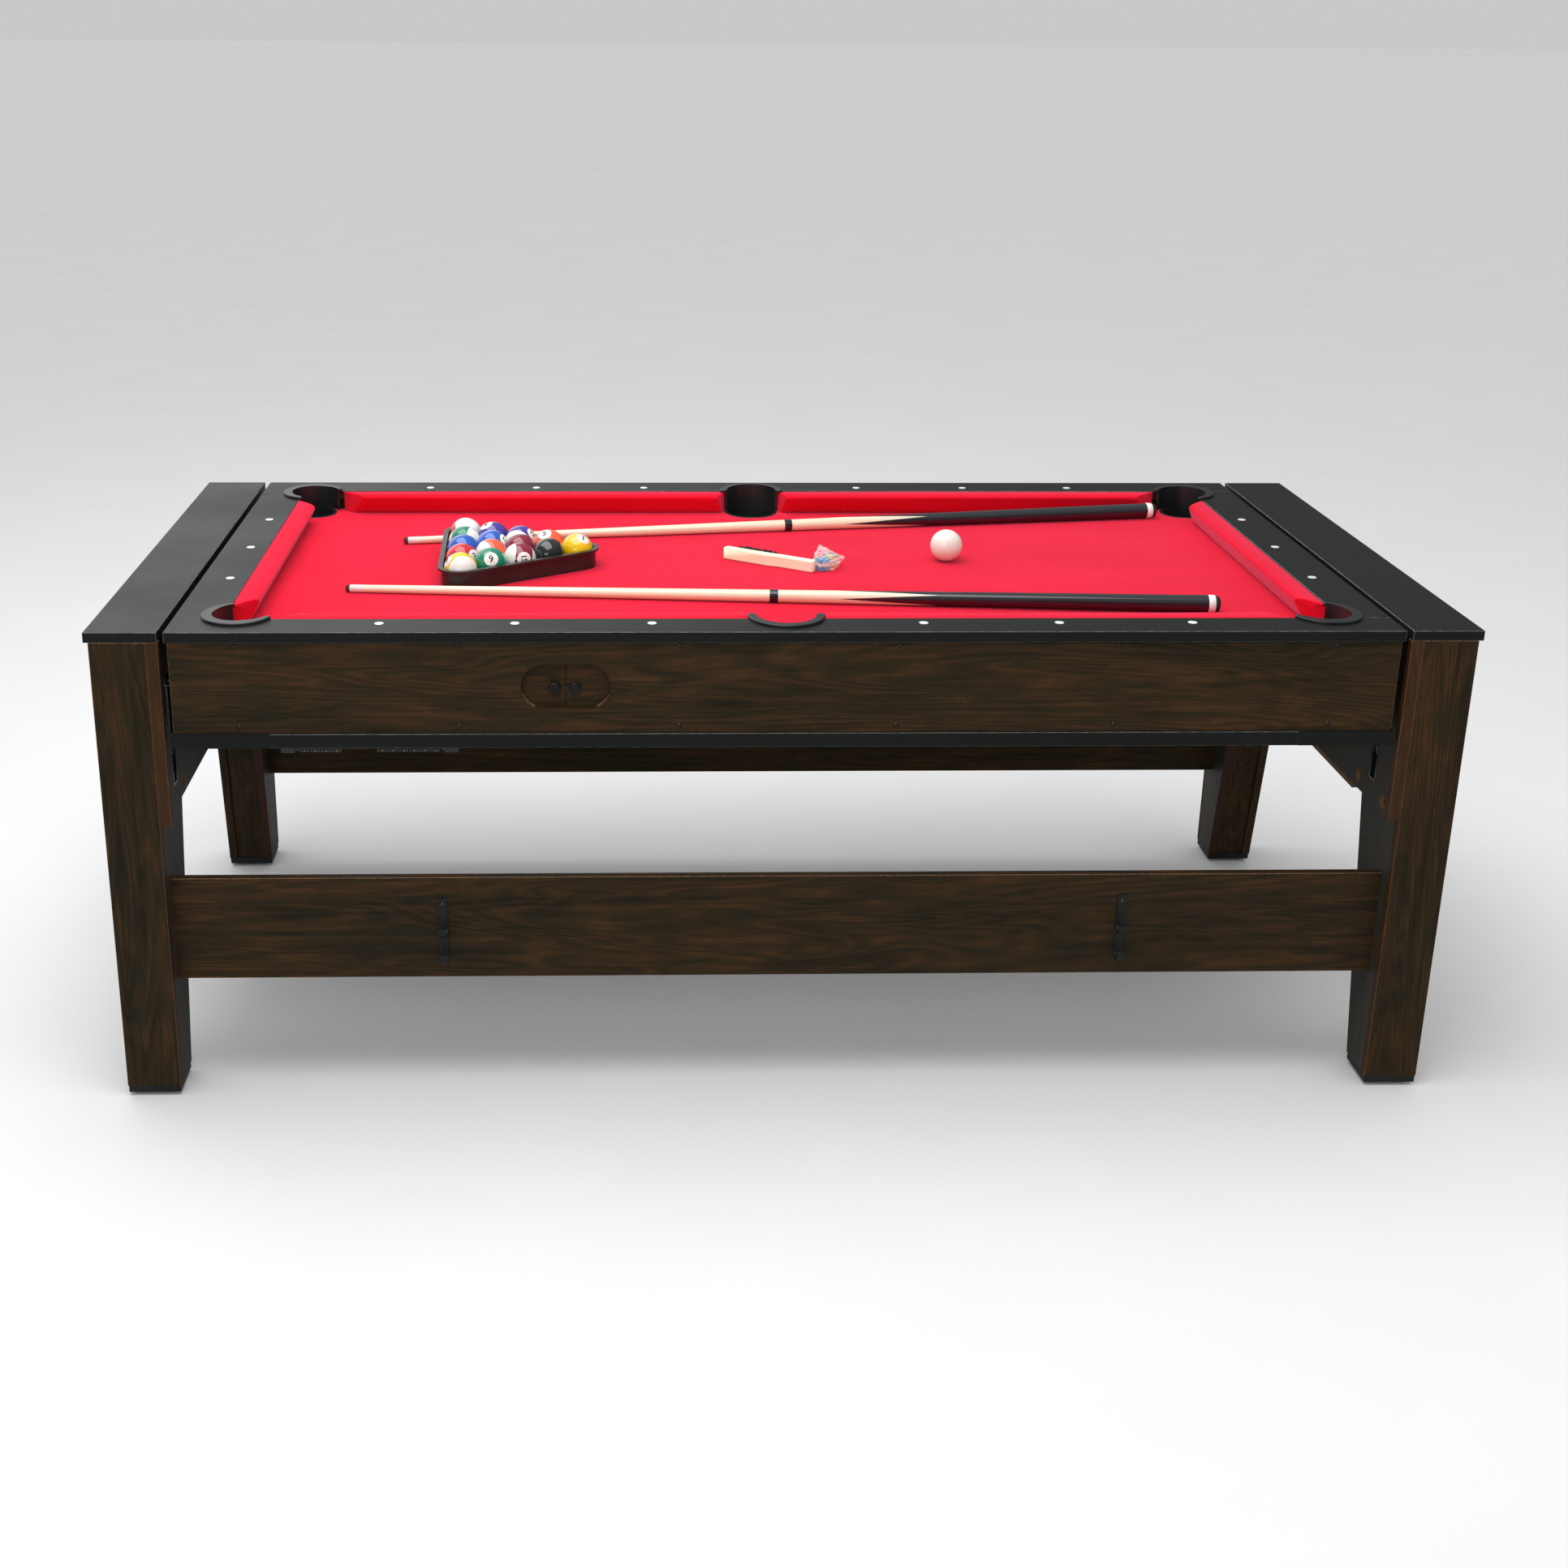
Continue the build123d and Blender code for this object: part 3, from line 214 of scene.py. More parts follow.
def black_laminate(end_x):
    """Charcoal foil on rails and caps: fine pebbled texture, a paler grey arris that is a painted highlight,
    raw board at the ends.
    """
    g = Graph("black_laminate")
    pebble = g.noise(g.at, 900.0, 3.0, 0.6)
    cloud = g.noise(g.at, 5.0, 3.0, 0.55)
    streak = g.noise(g.scaled((6, 260, 260)), 1.0, 2.0)
    colour = g.ramp(g.math("ADD", g.math("MULTIPLY", pebble, 0.7), g.math("MULTIPLY", streak, 0.3)),
                    (0.35, (0.0050, 0.0072, 0.0062)), (0.70, (0.0120, 0.0155, 0.0140)))
    edge, _ = g.broken_edge()
    x, _, _ = g.split(g.at)
    at_end = g.math("GREATER_THAN", g.math("ABSOLUTE", x), end_x - 1.2 * MM)
    at_end = g.math("MULTIPLY", at_end, g.math("LESS_THAN", g.math("ABSOLUTE", x), end_x + 1.2 * MM))
    # painted highlight: paler grey on the arris, broken up by noise; at the rail ends the arris shows raw
    # board instead
    highlight_and_wear = g.band(g.noise(g.at, 90.0, 3.0), 0.40, 0.62, 0.35, 0.85)
    rim = g.mix(at_end, (0.17, 0.18, 0.17), (0.34, 0.21, 0.14))
    colour = g.mix(g.math("MULTIPLY", edge, highlight_and_wear), colour, rim)
    g.set(base_color=colour, roughness=g.band(cloud, 0.3, 0.7, 0.40, 0.48), specular_ior_level=0.22)
    g.bump(pebble, 0.5, 0.10 * MM)
    return g.material


def side_laminate(bolts):
    """Plain speckled foil of the end panels, with raw board showing in the bolt recesses."""
    g = Graph("side_laminate")
    speck = g.noise(g.at, 700.0, 3.0, 0.7)
    streak = g.noise(g.scaled((160, 160, 5)), 1.0, 3.0)
    colour = g.ramp(g.math("ADD", g.math("MULTIPLY", speck, 0.6), g.math("MULTIPLY", streak, 0.4)),
                    (0.34, (0.026, 0.024, 0.018)), (0.66, (0.062, 0.058, 0.045)))
    _, axes = g.broken_edge()
    rim = g.math("LESS_THAN", axes[0], 0.5)
    fibre = g.noise(g.at, 420.0, 3.0, 0.7)
    raw = g.ramp(fibre, (0.3, (0.20, 0.095, 0.045)), (0.7, (0.42, 0.22, 0.11)))
    colour = g.mix(rim, colour, (0.050, 0.022, 0.013))
    _, y, z = g.split(g.at)
    inside = None
    for place in bolts:
        dy, dz = g.math("SUBTRACT", y, place.y), g.math("SUBTRACT", z, place.z)
        distance = g.math("SQRT", g.math("ADD", g.math("MULTIPLY", dy, dy), g.math("MULTIPLY", dz, dz)))
        near = g.math("LESS_THAN", distance, BOLT_RECESS_R)
        inside = near if inside is None else g.math("MAXIMUM", inside, near)
    colour = g.mix(inside, colour, raw)
    g.set(base_color=colour, roughness=0.5, specular_ior_level=0.2)
    g.bump(speck, 0.3, 0.08 * MM)
    return g.material


def fibreboard(name="fibreboard", lift=1.0):
    g = Graph(name)
    fibre = g.noise(g.scaled((1, 1, 4)), 480.0, 4.0, 0.7)
    blotch = g.noise(g.at, 14.0, 3.0)
    colour = g.ramp(fibre, (0.3, (0.15, 0.095, 0.052)), (0.7, (0.33, 0.22, 0.13)))
    colour = g.mix(g.math("MULTIPLY", blotch, 0.4), colour, (0.12, 0.075, 0.04))
    colour = g.mix(1.0 - lift, colour, (0.006, 0.006, 0.006))
    g.set(base_color=colour, roughness=0.9)
    g.bump(fibre, 0.5, 0.2 * MM)
    return g.material


def plastic(name, dark, light, roughness, texture=650.0, bump=0.25, coat=0.0, spec=0.3):
    """Moulded plastic: faint colour drift and a spark-eroded surface."""
    g = Graph(name)
    drift = g.noise(g.at, 22.0, 3.0)
    grain = g.noise(g.at, texture, 2.0, 0.6)
    g.set(base_color=g.ramp(drift, (0.3, dark), (0.7, light)), coat_weight=coat, coat_roughness=0.05,
          roughness=g.band(grain, 0.3, 0.7, roughness * 0.85, roughness * 1.15),
          specular_ior_level=spec)
    g.bump(grain, bump, 0.08 * MM)
    return g.material


def metal(name, dark, light, roughness, brush=(30, 900, 900)):
    """Turned or drawn metal with fine marks along one direction."""
    g = Graph(name)
    marks = g.noise(g.scaled(brush), 1.0, 3.0, 0.6)
    g.set(base_color=g.ramp(marks, (0.3, dark), (0.7, light)), metallic=1.0,
          roughness=g.band(marks, 0.3, 0.7, roughness * 0.8, roughness * 1.3))
    g.bump(marks, 0.2, 0.05 * MM)
    return g.material


def felt(name, dark, light):
    """Napped billiard cloth: woven wool under short fuzz, lighter where the nap catches light."""
    g = Graph(name)
    wool = g.noise(g.at, 1500.0, 3.0, 0.75)
    fuzz = g.noise(g.at, 340.0, 4.0, 0.7, 0.8)
    nap = g.noise(g.scaled((2.0, 5.0, 5.0)), 1.6, 3.0, 0.5, 0.3)
    amount = g.math("ADD", g.math("MULTIPLY", wool, 0.40), g.math("MULTIPLY", fuzz, 0.35))
    amount = g.math("ADD", amount, g.math("MULTIPLY", nap, 0.25))
    colour = g.ramp(amount, (0.36, dark), (0.62, light))
    lint = g.band(g.noise(g.at, 430.0, 0.0), 0.835, 0.86)
    colour = g.mix(g.math("MULTIPLY", lint, 0.30), colour, (0.95, 0.45, 0.45))
    g.set(base_color=colour, roughness=0.95, specular_ior_level=0.06, sheen_weight=0.34,
          sheen_roughness=0.40, sheen_tint=(1.0, 0.42, 0.78, 1.0))
    g.bump(g.math("ADD", wool, fuzz), 0.55, 0.25 * MM)
    return g.material


RINK_RED = (0.62, 0.008, 0.030)
RINK_BLUE = (0.015, 0.13, 0.62)
CENTRE_RING_R = 0.103
FACE_OFF_AT = (0.638, 0.190)
BLUE_LINE_X = 0.346
HOLES_PER_METRE = 40.0


def rink_surface(half_length):
    """Polished white rink with its lines, circles and goal creases, and a grid of air holes painted as dark
    dots of shade.
    """
    g = Graph("rink_surface")
    x, y, _ = g.split(g.at)

    def ring(cx, cy, radius, width):
        """1 within half the width of a circle, mirrored into all four quarters."""
        dx = g.math("SUBTRACT", g.math("ABSOLUTE", x), cx)
        dy = g.math("SUBTRACT", g.math("ABSOLUTE", y), cy)
        distance = g.math("SQRT", g.math("ADD", g.math("MULTIPLY", dx, dx), g.math("MULTIPLY", dy, dy)))
        return g.math("LESS_THAN", g.math("ABSOLUTE", g.math("SUBTRACT", distance, radius)), width / 2)

    reds = [ring(0, 0, CENTRE_RING_R, 0.006), ring(0, 0, 0.075, 0.0035), ring(0, 0, 0, 0.023),
            ring(*FACE_OFF_AT, 0.096, 0.005), ring(*FACE_OFF_AT, 0, 0.018),
            ring(half_length + 0.020, 0, 0.119, 0.005)]
    dash = g.math("LESS_THAN", g.math("FRACT", g.math("MULTIPLY", y, 70.0)), 0.62)
    line = g.math("LESS_THAN", g.math("ABSOLUTE", x), 0.006)
    away = g.math("GREATER_THAN", g.math("ABSOLUTE", y), CENTRE_RING_R)
    reds.append(g.math("MULTIPLY", g.math("MULTIPLY", dash, line), away))
    red = reds[0]
    for mark in reds[1:]:
        red = g.math("MAXIMUM", red, mark)
    off_line = g.math("SUBTRACT", g.math("ABSOLUTE", x), BLUE_LINE_X)
    blue = g.math("LESS_THAN", g.math("ABSOLUTE", off_line), 0.0048)
    cloud = g.noise(g.at, 3.0, 2.0)
    colour = g.ramp(cloud, (0.3, (0.80, 0.84, 0.90)), (0.7, (0.86, 0.89, 0.93)))
    colour = g.mix(blue, colour, RINK_BLUE)
    colour = g.mix(red, colour, RINK_RED)
    # air holes: dark dots of painted shade standing in for the unlit holes, with a shallow dent in the bump
    cells = [g.math("SUBTRACT", g.math("FRACT", g.math("MULTIPLY", part, HOLES_PER_METRE)), 0.5)
             for part in (x, y)]
    spread = g.math("ADD", g.math("MULTIPLY", cells[0], cells[0]), g.math("MULTIPLY", cells[1], cells[1]))
    hole = g.math("LESS_THAN", spread, 0.0006)
    colour = g.mix(g.math("MULTIPLY", hole, 0.8), colour, (0.10, 0.11, 0.12))
    g.set(base_color=colour, roughness=0.16, coat_weight=0.5, coat_roughness=0.06)
    g.bump(hole, 0.6, -0.3 * MM)
    return g.material


def ball_resin(name, colour, striped):
    """Polished resin ball. Local Z points at the number discs, and a stripe runs round local X."""
    g = Graph(name)
    unit = g.add("ShaderNodeVectorMath", {0: g.at}, operation="NORMALIZE").outputs[0]
    x, _, z = g.split(unit)
    cream = g.ramp(g.noise(g.at, 60.0, 2.0), (0.3, (0.82, 0.80, 0.74)), (0.7, (0.88, 0.87, 0.82)))
    swirl = g.ramp(g.noise(g.at, 45.0, 3.0, 0.5, 1.2), (0.3, tuple(c * 0.85 for c in colour)),
                   (0.7, tuple(min(1.0, c * 1.1) for c in colour)))
    surface = swirl
    if striped:
        surface = g.mix(g.math("LESS_THAN", g.math("ABSOLUTE", x), 0.52), cream, swirl)
    disc = g.math("GREATER_THAN", g.math("ABSOLUTE", z), 0.905)
    surface = g.mix(disc, surface, cream)
    scuff = g.band(g.noise(g.at, 160.0, 4.0, 0.7), 0.55, 0.8, 0.06, 0.14)
    g.set(base_color=surface, roughness=scuff, coat_weight=0.6, coat_roughness=0.03)
    g.bump(g.noise(g.at, 300.0, 2.0), 0.03, 0.02 * MM)
    return g.material


def ivory_resin():
    g = Graph("ivory_resin")
    drift = g.noise(g.at, 30.0, 3.0, 0.5, 0.8)
    g.set(base_color=g.ramp(drift, (0.3, (0.80, 0.775, 0.69)), (0.7, (0.88, 0.86, 0.79))),
          roughness=g.band(g.noise(g.at, 180.0, 4.0, 0.7), 0.5, 0.8, 0.08, 0.2),
          coat_weight=0.6, coat_roughness=0.04, subsurface_weight=0.08, subsurface_radius=(0.004,) * 3)
    g.bump(drift, 0.02, 0.02 * MM)
    return g.material


def cue_wood(spear_start, spear_end):
    """Lacquered shaft along local Z, turning black past four long spear points."""
    g = Graph("cue_wood")
    x, y, z = g.split(g.at)
    grain = g.noise(g.scaled((700, 700, 5)), 1.0, 3.0, 0.6)
    tone = g.noise(g.scaled((30, 30, 3)), 1.0, 2.0)
    maple = g.ramp(grain, (0.3, (0.76, 0.58, 0.37)), (0.7, (0.90, 0.78, 0.58)))
    maple = g.mix(g.math("MULTIPLY", tone, 0.45), maple, (0.95, 0.87, 0.72))
    angle = g.math("DIVIDE", g.math("ARCTAN2", y, x), 2 * math.pi)
    wave = g.math("PINGPONG", g.math("MULTIPLY", angle, 8.0), 1.0)
    limit = g.math("MULTIPLY_ADD", wave, spear_end - spear_start, spear_start)
    black = g.math("GREATER_THAN", z, limit)
    paint = g.ramp(grain, (0.3, (0.004, 0.005, 0.009)), (0.7, (0.012, 0.014, 0.022)))
    g.set(base_color=g.mix(black, maple, paint), roughness=g.band(grain, 0.3, 0.7, 0.20, 0.30),
          coat_weight=0.8, coat_roughness=0.06)
    g.bump(grain, 0.15, 0.03 * MM)
    return g.material


def clear_wrap():
    """Crumpled clear film: mostly see-through, whitish on its folds."""
    g = Graph("clear_wrap")
    fold = g.noise(g.at, 190.0, 3.0, 0.7, 1.5)
    facing = g.add("ShaderNodeLayerWeight", {"Blend": 0.45}).outputs["Facing"]
    alpha = g.math("MULTIPLY_ADD", facing, 0.55, g.band(fold, 0.45, 0.7, 0.02, 0.32))
    g.set(base_color=(0.93, 0.93, 0.95, 1.0), roughness=0.12, alpha=alpha, specular_ior_level=0.8)
    g.bump(fold, 0.8, 1.0 * MM)
    return g.material


def label_paper(name, colour):
    """Printed paper on a chalk cube: coloured field, pale band and small dark marks."""
    g = Graph(name)
    _, _, z = g.split(g.at)
    fibre = g.noise(g.at, 700.0, 3.0)
    field = g.ramp(fibre, (0.3, tuple(c * 0.8 for c in colour)), (0.7, colour))
    stripe = g.math("LESS_THAN", g.math("ABSOLUTE", g.math("SUBTRACT", z, 0.001)), 0.0032)
    field = g.mix(stripe, field, (0.80, 0.80, 0.76))
    marks = g.band(g.noise(g.scaled((1.0, 1.0, 0.6)), 420.0, 1.0), 0.62, 0.66)
    field = g.mix(g.math("MULTIPLY", g.math("MULTIPLY", marks, stripe), 0.9), field, (0.03, 0.03, 0.05))
    g.set(base_color=field, roughness=0.55)
    g.bump(fibre, 0.3, 0.05 * MM)
    return g.material


def powder(name, dark, light):
    g = Graph(name)
    dust = g.noise(g.at, 520.0, 4.0, 0.7)
    g.set(base_color=g.ramp(dust, (0.3, dark), (0.7, light)), roughness=1.0, specular_ior_level=0.1)
    g.bump(dust, 0.8, 0.3 * MM)
    return g.material


# ================================================================ mesh helpers
def add_piece(name, verts, faces, material, body, smooth=True, sharp=35.0, closed=False):
    """New mesh piece in the row frame, riding on a body. A closed mesh gets its faces turned outwards."""
    mesh = bpy.data.meshes.new(name)
    mesh.from_pydata([tuple(v) for v in verts], [], faces)
    mesh.update()
    if closed:
        turned = bmesh.new()
        turned.from_mesh(mesh)
        bmesh.ops.recalc_face_normals(turned, faces=turned.faces)
        turned.to_mesh(mesh)
        turned.free()
    if smooth:
        mesh.shade_smooth()
        mesh.set_sharp_from_angle(angle=math.radians(sharp))
    mesh.materials.append(material)
    piece = bpy.data.objects.new(name, mesh)
    bpy.context.scene.collection.objects.link(piece)
    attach(piece, body)
    return piece


def place(piece, matrix, body):
    """Moves a piece drawn at the origin to its place, and seats it on its body."""
    piece.matrix_world = matrix
    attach(piece, body)
    return piece


def ring_faces(rings, count, base=0):
    """Quads between successive closed rings of count vertices each."""
    faces = []
    for ring in range(rings - 1):
        low, high = base + ring * count, base + (ring + 1) * count
        for i in range(count):
            j = (i + 1) % count
            faces.append((low + i, low + j, high + j, high + i))
    return faces


def merge(verts, faces, more_verts, more_faces):
    """Adds one mesh to the end of another."""
    base = len(verts)
    verts += more_verts
    faces += [[base + i for i in face] for face in more_faces]


def lathe(profile, segments=48):
    """Vertices and faces of a turned shape about Z from (radius, z) points, closed at both ends."""
    verts = []
    for radius, z in profile:
        for i in range(segments):
            a = 2 * math.pi * i / segments
            verts.append((radius * math.cos(a), radius * math.sin(a), z))
    faces = ring_faces(len(profile), segments)
    faces.append(tuple(reversed(range(segments))))
    faces.append(tuple(range(len(verts) - segments, len(verts))))
    return verts, faces


def frame_matrix(origin, x_axis, z_axis):
    """Placing matrix with local Z along z_axis and local X as near x_axis as it can be."""
    z = Vector(z_axis).normalized()
    x = Vector(x_axis)
    x = (x - z * x.dot(z)).normalized()
    y = z.cross(x)
    matrix = Matrix((x, y, z)).transposed().to_4x4()
    matrix.translation = Vector(origin)
    return matrix


def bevelled(piece, width, segments=3):
    modifier = piece.modifiers.new("soft_edges", "BEVEL")
    modifier.width = width
    modifier.segments = segments
    modifier.limit_method = "ANGLE"
    modifier.angle_limit = math.radians(30.0)
    return piece


def dress(material, *names):
    """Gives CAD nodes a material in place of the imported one."""
    for name in names:
        mesh_slots = nodes[name].material_slots
        if not mesh_slots:
            nodes[name].data.materials.append(material)
        for mesh_slot in mesh_slots:
            mesh_slot.material = material


# ================================================================ fabric
def puff(piece, pinned, pressure, cap, frames=20):
    """Lets the cloth solver swell a fabric skin, holding each point within cap of where it began."""
    start = np.array([v.co for v in piece.data.vertices])
    group = piece.vertex_groups.new(name="pin")
    group.add(pinned, 1.0, "REPLACE")
    cloth = piece.modifiers.new("Cloth", "CLOTH")
    cloth.settings.quality = 4
    cloth.settings.mass = 0.25
    cloth.settings.tension_stiffness = 30
    cloth.settings.compression_stiffness = 30
    cloth.settings.shear_stiffness = 12
    cloth.settings.bending_stiffness = 0.8
    cloth.settings.use_pressure = True
    cloth.settings.uniform_pressure_force = pressure
    cloth.settings.vertex_group_mass = "pin"
    cloth.settings.effector_weights.gravity = 0.0
    cloth.collision_settings.use_collision = False
    scene = bpy.context.scene
    for number in range(1, frames + 1):
        scene.frame_set(number)
    evaluated = piece.evaluated_get(bpy.context.evaluated_depsgraph_get())
    swollen = np.array([v.co for v in evaluated.data.vertices])
    piece.modifiers.remove(cloth)
    scene.frame_set(1)
    move = swollen - start
    length = np.maximum(np.linalg.norm(move, axis=1, keepdims=True), 1e-9)
    kept = start + move * np.minimum(1.0, cap / length)
    for vert, position in zip(piece.data.vertices, kept):
        vert.co = position
    piece.data.update()


NOSE_ROUND = 3.4 * MM
FOOT_SHARE = 0.55           # depth of a cushion's foot as a share of its depth at the nose


def cushion_profile(depth, low, high):
    """Cushion section as (depth from rail, height): flat foot, undercut face, round nose, crowned top."""
    points = [(0.0, low)]
    foot = depth * FOOT_SHARE
    points += [(foot * t, low) for t in (0.25, 0.5, 0.75, 0.93)]
    nose_z = high - 1.9 * MM - NOSE_ROUND
    nose_d = depth - NOSE_ROUND
    run, rise = nose_d + NOSE_ROUND * 0.9 - foot, nose_z - NOSE_ROUND * 0.4 - low
    points += [(foot + run * t, low + rise * t) for t in (0.03, 0.12, 0.3, 0.5, 0.7, 0.88, 1.0)]
    for degrees_up in (-8, 12, 32, 52, 72, 88):
        a = math.radians(degrees_up)
        points.append((nose_d + NOSE_ROUND * math.cos(a), nose_z + NOSE_ROUND * math.sin(a)))
    top = nose_d
    for t in (0.85, 0.68, 0.5, 0.32, 0.15, 0.04, 0.0):
        crown = 1.3 * MM * math.sin(math.pi * min(1.0, 0.15 + 0.75 * (1 - t)))
        points.append((top * t, high - 1.9 * MM + crown))
    return points


def cushion(index, points, material):
    """One cushion skin over the plan of its CAD solid: facings cut back, with a tucked seam at each end."""
    lo, hi = points.min(0), points.max(0)
    run = 0 if hi[0] - lo[0] > hi[1] - lo[1] else 1
    cross = 1 - run
    outwards = 1 if (lo[cross] + hi[cross]) > 0 else -1
    rail, nose = (hi[cross], lo[cross]) if outwards > 0 else (lo[cross], hi[cross])
    at_rail = points[abs(points[:, cross] - rail) < 1e-4][:, run]
    at_nose = points[abs(points[:, cross] - nose) < 1e-4][:, run]
    depth = abs(rail - nose)
    profile = cushion_profile(depth, lo[2], hi[2])
    centre = (sum(p[0] for p in profile) / len(profile), sum(p[1] for p in profile) / len(profile))
    ends = [(at_rail.min(), at_nose.min()), (at_rail.max(), at_nose.max())]
    # distance in from each facing, and how far the skin stands out there (the tuck) or is drawn in
    tuck = [(0.0, -1.1 * MM), (0.5 * MM, -0.35 * MM), (1.4 * MM, 0.25 * MM), (2.8 * MM, 0.55 * MM),
            (4.4 * MM, 0.30 * MM), (6.5 * MM, 0.0)]
    inner = np.linspace(0.012, 1 - 0.012, 110)
    verts = []
    rows = [("low", d, o) for d, o in tuck] + [("mid", t, 0.0) for t in inner]
    rows += [("high", d, o) for d, o in reversed(tuck)]
    for kind, value, out in rows:
        for d, z in profile:
            away = Vector((d - centre[0], z - centre[1]))
            loose = d > 1e-6 and z > lo[2] + 1e-6
            grown = Vector((d, z)) + (away.normalized() * out if loose else Vector((0, 0)))
            share = d / depth
            first = ends[0][0] + (ends[0][1] - ends[0][0]) * share
            last = ends[1][0] + (ends[1][1] - ends[1][0]) * share
            if kind == "low":
                along = first + value
            elif kind == "high":
                along = last - value
            else:
                along = first + (last - first) * value
            position = [0.0, 0.0, grown[1]]
            position[run] = along
            position[cross] = rail - outwards * grown[0]
            verts.append(position)
    count = len(profile)
    faces = ring_faces(len(rows), count)
    for base in (0, (len(rows) - 1) * count):
        hub = len(verts)
        ring = verts[base:base + count]
        verts.append([sum(v[k] for v in ring) / count for k in range(3)])
        faces += [(base + i, base + (i + 1) % count, hub) for i in range(count)]
    piece = add_piece(f"cushion_{index}", verts, faces, material, "cabinet", sharp=50.0,
                      closed=True)
    held = [i for i, v in enumerate(verts)
            if abs(v[cross] - rail) < 1e-5 or v[2] < lo[2] + 1e-5]
    held += list(range(len(verts) - 2, len(verts)))
    puff(piece, held, 3.0, 0.9 * MM)
    return piece


def bed_cloth(material):
    """Stretched bed cloth with a clean round cut at each pocket, slightly drawn down at the rims."""
    lo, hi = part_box("pool_cloth")
    points = np.array([v.co for v in nodes["pool_cloth"].data.vertices])
    pockets = []
    for opening in frame["record"]["physics"]["openings"]:
        if opening["name"].startswith("pocket_"):
            centre = (np.array(opening["box_m"][0]) + np.array(opening["box_m"][1]))[:2] / 2
            distances = np.linalg.norm(points[:, :2] - centre, axis=1)
            pockets.append((centre, float(distances.min())))
    step = 8.0 * MM
    nx, ny = round((hi.x - lo.x) / step), round((hi.y - lo.y) / step)
    grid = {}
    verts, faces = [], []
    inset = 0.4 * MM

    def vertex(i, j):
        if (i, j) not in grid:
            grid[i, j] = len(verts)
            x = lo.x + inset + (hi.x - lo.x - 2 * inset) * i / nx
            y = lo.y + inset + (hi.y - lo.y - 2 * inset) * j / ny
            verts.append([x, y, hi.z])
        return grid[i, j]

    def hole(x, y):
        for centre, radius in pockets:
            if math.hypot(x - centre[0], y - centre[1]) < radius:
                return centre, radius
        return None

    for i in range(nx):
        for j in range(ny):
            quad = [(i, j), (i + 1, j), (i + 1, j + 1), (i, j + 1)]
            spots = [(lo.x + (hi.x - lo.x) * a / nx, lo.y + (hi.y - lo.y) * b / ny) for a, b in quad]
            if not all(hole(*spot) for spot in spots):
                faces.append([vertex(a, b) for a, b in quad])
    for vert in verts:
        found = hole(vert[0], vert[1])
        if found:
            centre, radius = found
            away = Vector((vert[0] - centre[0], vert[1] - centre[1]))
            if away.length < 1e-6:
                away = Vector((1, 0))
            away = away.normalized() * (radius + 0.2 * MM)
            vert[0], vert[1] = centre[0] + away.x, centre[1] + away.y
            vert[2] -= 0.5 * MM
    piece = add_piece("bed_cloth", verts, faces, material, "cabinet", sharp=60.0)
    thick = piece.modifiers.new("thickness", "SOLIDIFY")
    thick.thickness = (hi.z - lo.z) - 0.6 * MM
    thick.offset = -1.0
    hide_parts("pool_cloth")
    return piece


# ================================================================ balls
BALL_COLOURS = {
    1: (0.92, 0.56, 0.002), 2: (0.012, 0.10, 0.50), 3: (0.60, 0.018, 0.022), 4: (0.055, 0.035, 0.30),
    5: (0.90, 0.115, 0.045), 6: (0.001, 0.23, 0.125), 7: (0.23, 0.006, 0.030), 8: (0.008, 0.010, 0.012),
}
# for each ball, near to far in each row: number, disc (right, up) and stripe axis (right, up) as seen
# from the near side of the table, in ball radii, and the turn of the figures in degrees
BALL_FACES = (
    (9, (-0.80, 0.52), (0.15, -0.08), 60), (3, (0.78, 0.20), (0.0, 0.5), 8),
    (2, (-0.6, -0.7), (0.0, 0.5), 8),
    (14, (0.0, -0.95), (0.93, 0.0), 8), (11, (0.75, -0.63), (0.35, 0.60), 8),
    (6, (0.06, 0.32), (0.9, 0.0), 185), (13, (0.30, -0.90), (-0.85, 0.25), 8),
    (10, (0.82, 0.36), (0.25, -0.50), -60), (4, (-0.44, 0.82), (0.9, 0.2), 20),
    (15, (0.28, 0.00), (-0.93, 0.20), -80), (7, (0.55, -0.80), (0.0, 0.4), 8),
    (12, (0.78, 0.46), (-0.30, -0.25), -50),
    (8, (-0.32, -0.62), (0.5, 0.0), 8), (5, (-0.25, 0.75), (0.9, 0.0), 10),
    (1, (0.40, 0.72), (0.9, -0.3), -30),
)


def text_mesh(text, height):
    """Flat filled text centred on the origin, as vertices and triangles, with no long edges."""
    curve = bpy.data.curves.new("digits", "FONT")
    curve.body = text
    curve.size = height
    curve.align_x = "CENTER"
    curve.align_y = "CENTER"
    curve.resolution_u = 5
    curve.offset = height * 0.022
    holder = bpy.data.objects.new("digits", curve)
    bpy.context.scene.collection.objects.link(holder)
    bpy.context.view_layer.update()
    flat = bpy.data.meshes.new_from_object(holder.evaluated_get(bpy.context.evaluated_depsgraph_get()))
    mesh = bmesh.new()
    mesh.from_mesh(flat)
    bmesh.ops.triangulate(mesh, faces=mesh.faces)
    for _ in range(3):
        long_edges = [e for e in mesh.edges if e.calc_length() > height * 0.13]
        bmesh.ops.subdivide_edges(mesh, edges=long_edges, cuts=1)
        bmesh.ops.triangulate(mesh, faces=mesh.faces)
    mesh.verts.index_update()
    verts = [v.co.copy() for v in mesh.verts]
    faces = [[v.index for v in f.verts] for f in mesh.faces]
    mesh.free()
    bpy.data.objects.remove(holder)
    bpy.data.curves.remove(curve)
    bpy.data.meshes.remove(flat)
    middle_x = (min(v.x for v in verts) + max(v.x for v in verts)) / 2
    middle_y = (min(v.y for v in verts) + max(v.y for v in verts)) / 2
    return [Vector((v.x - middle_x, v.y - middle_y, 0)) for v in verts], faces


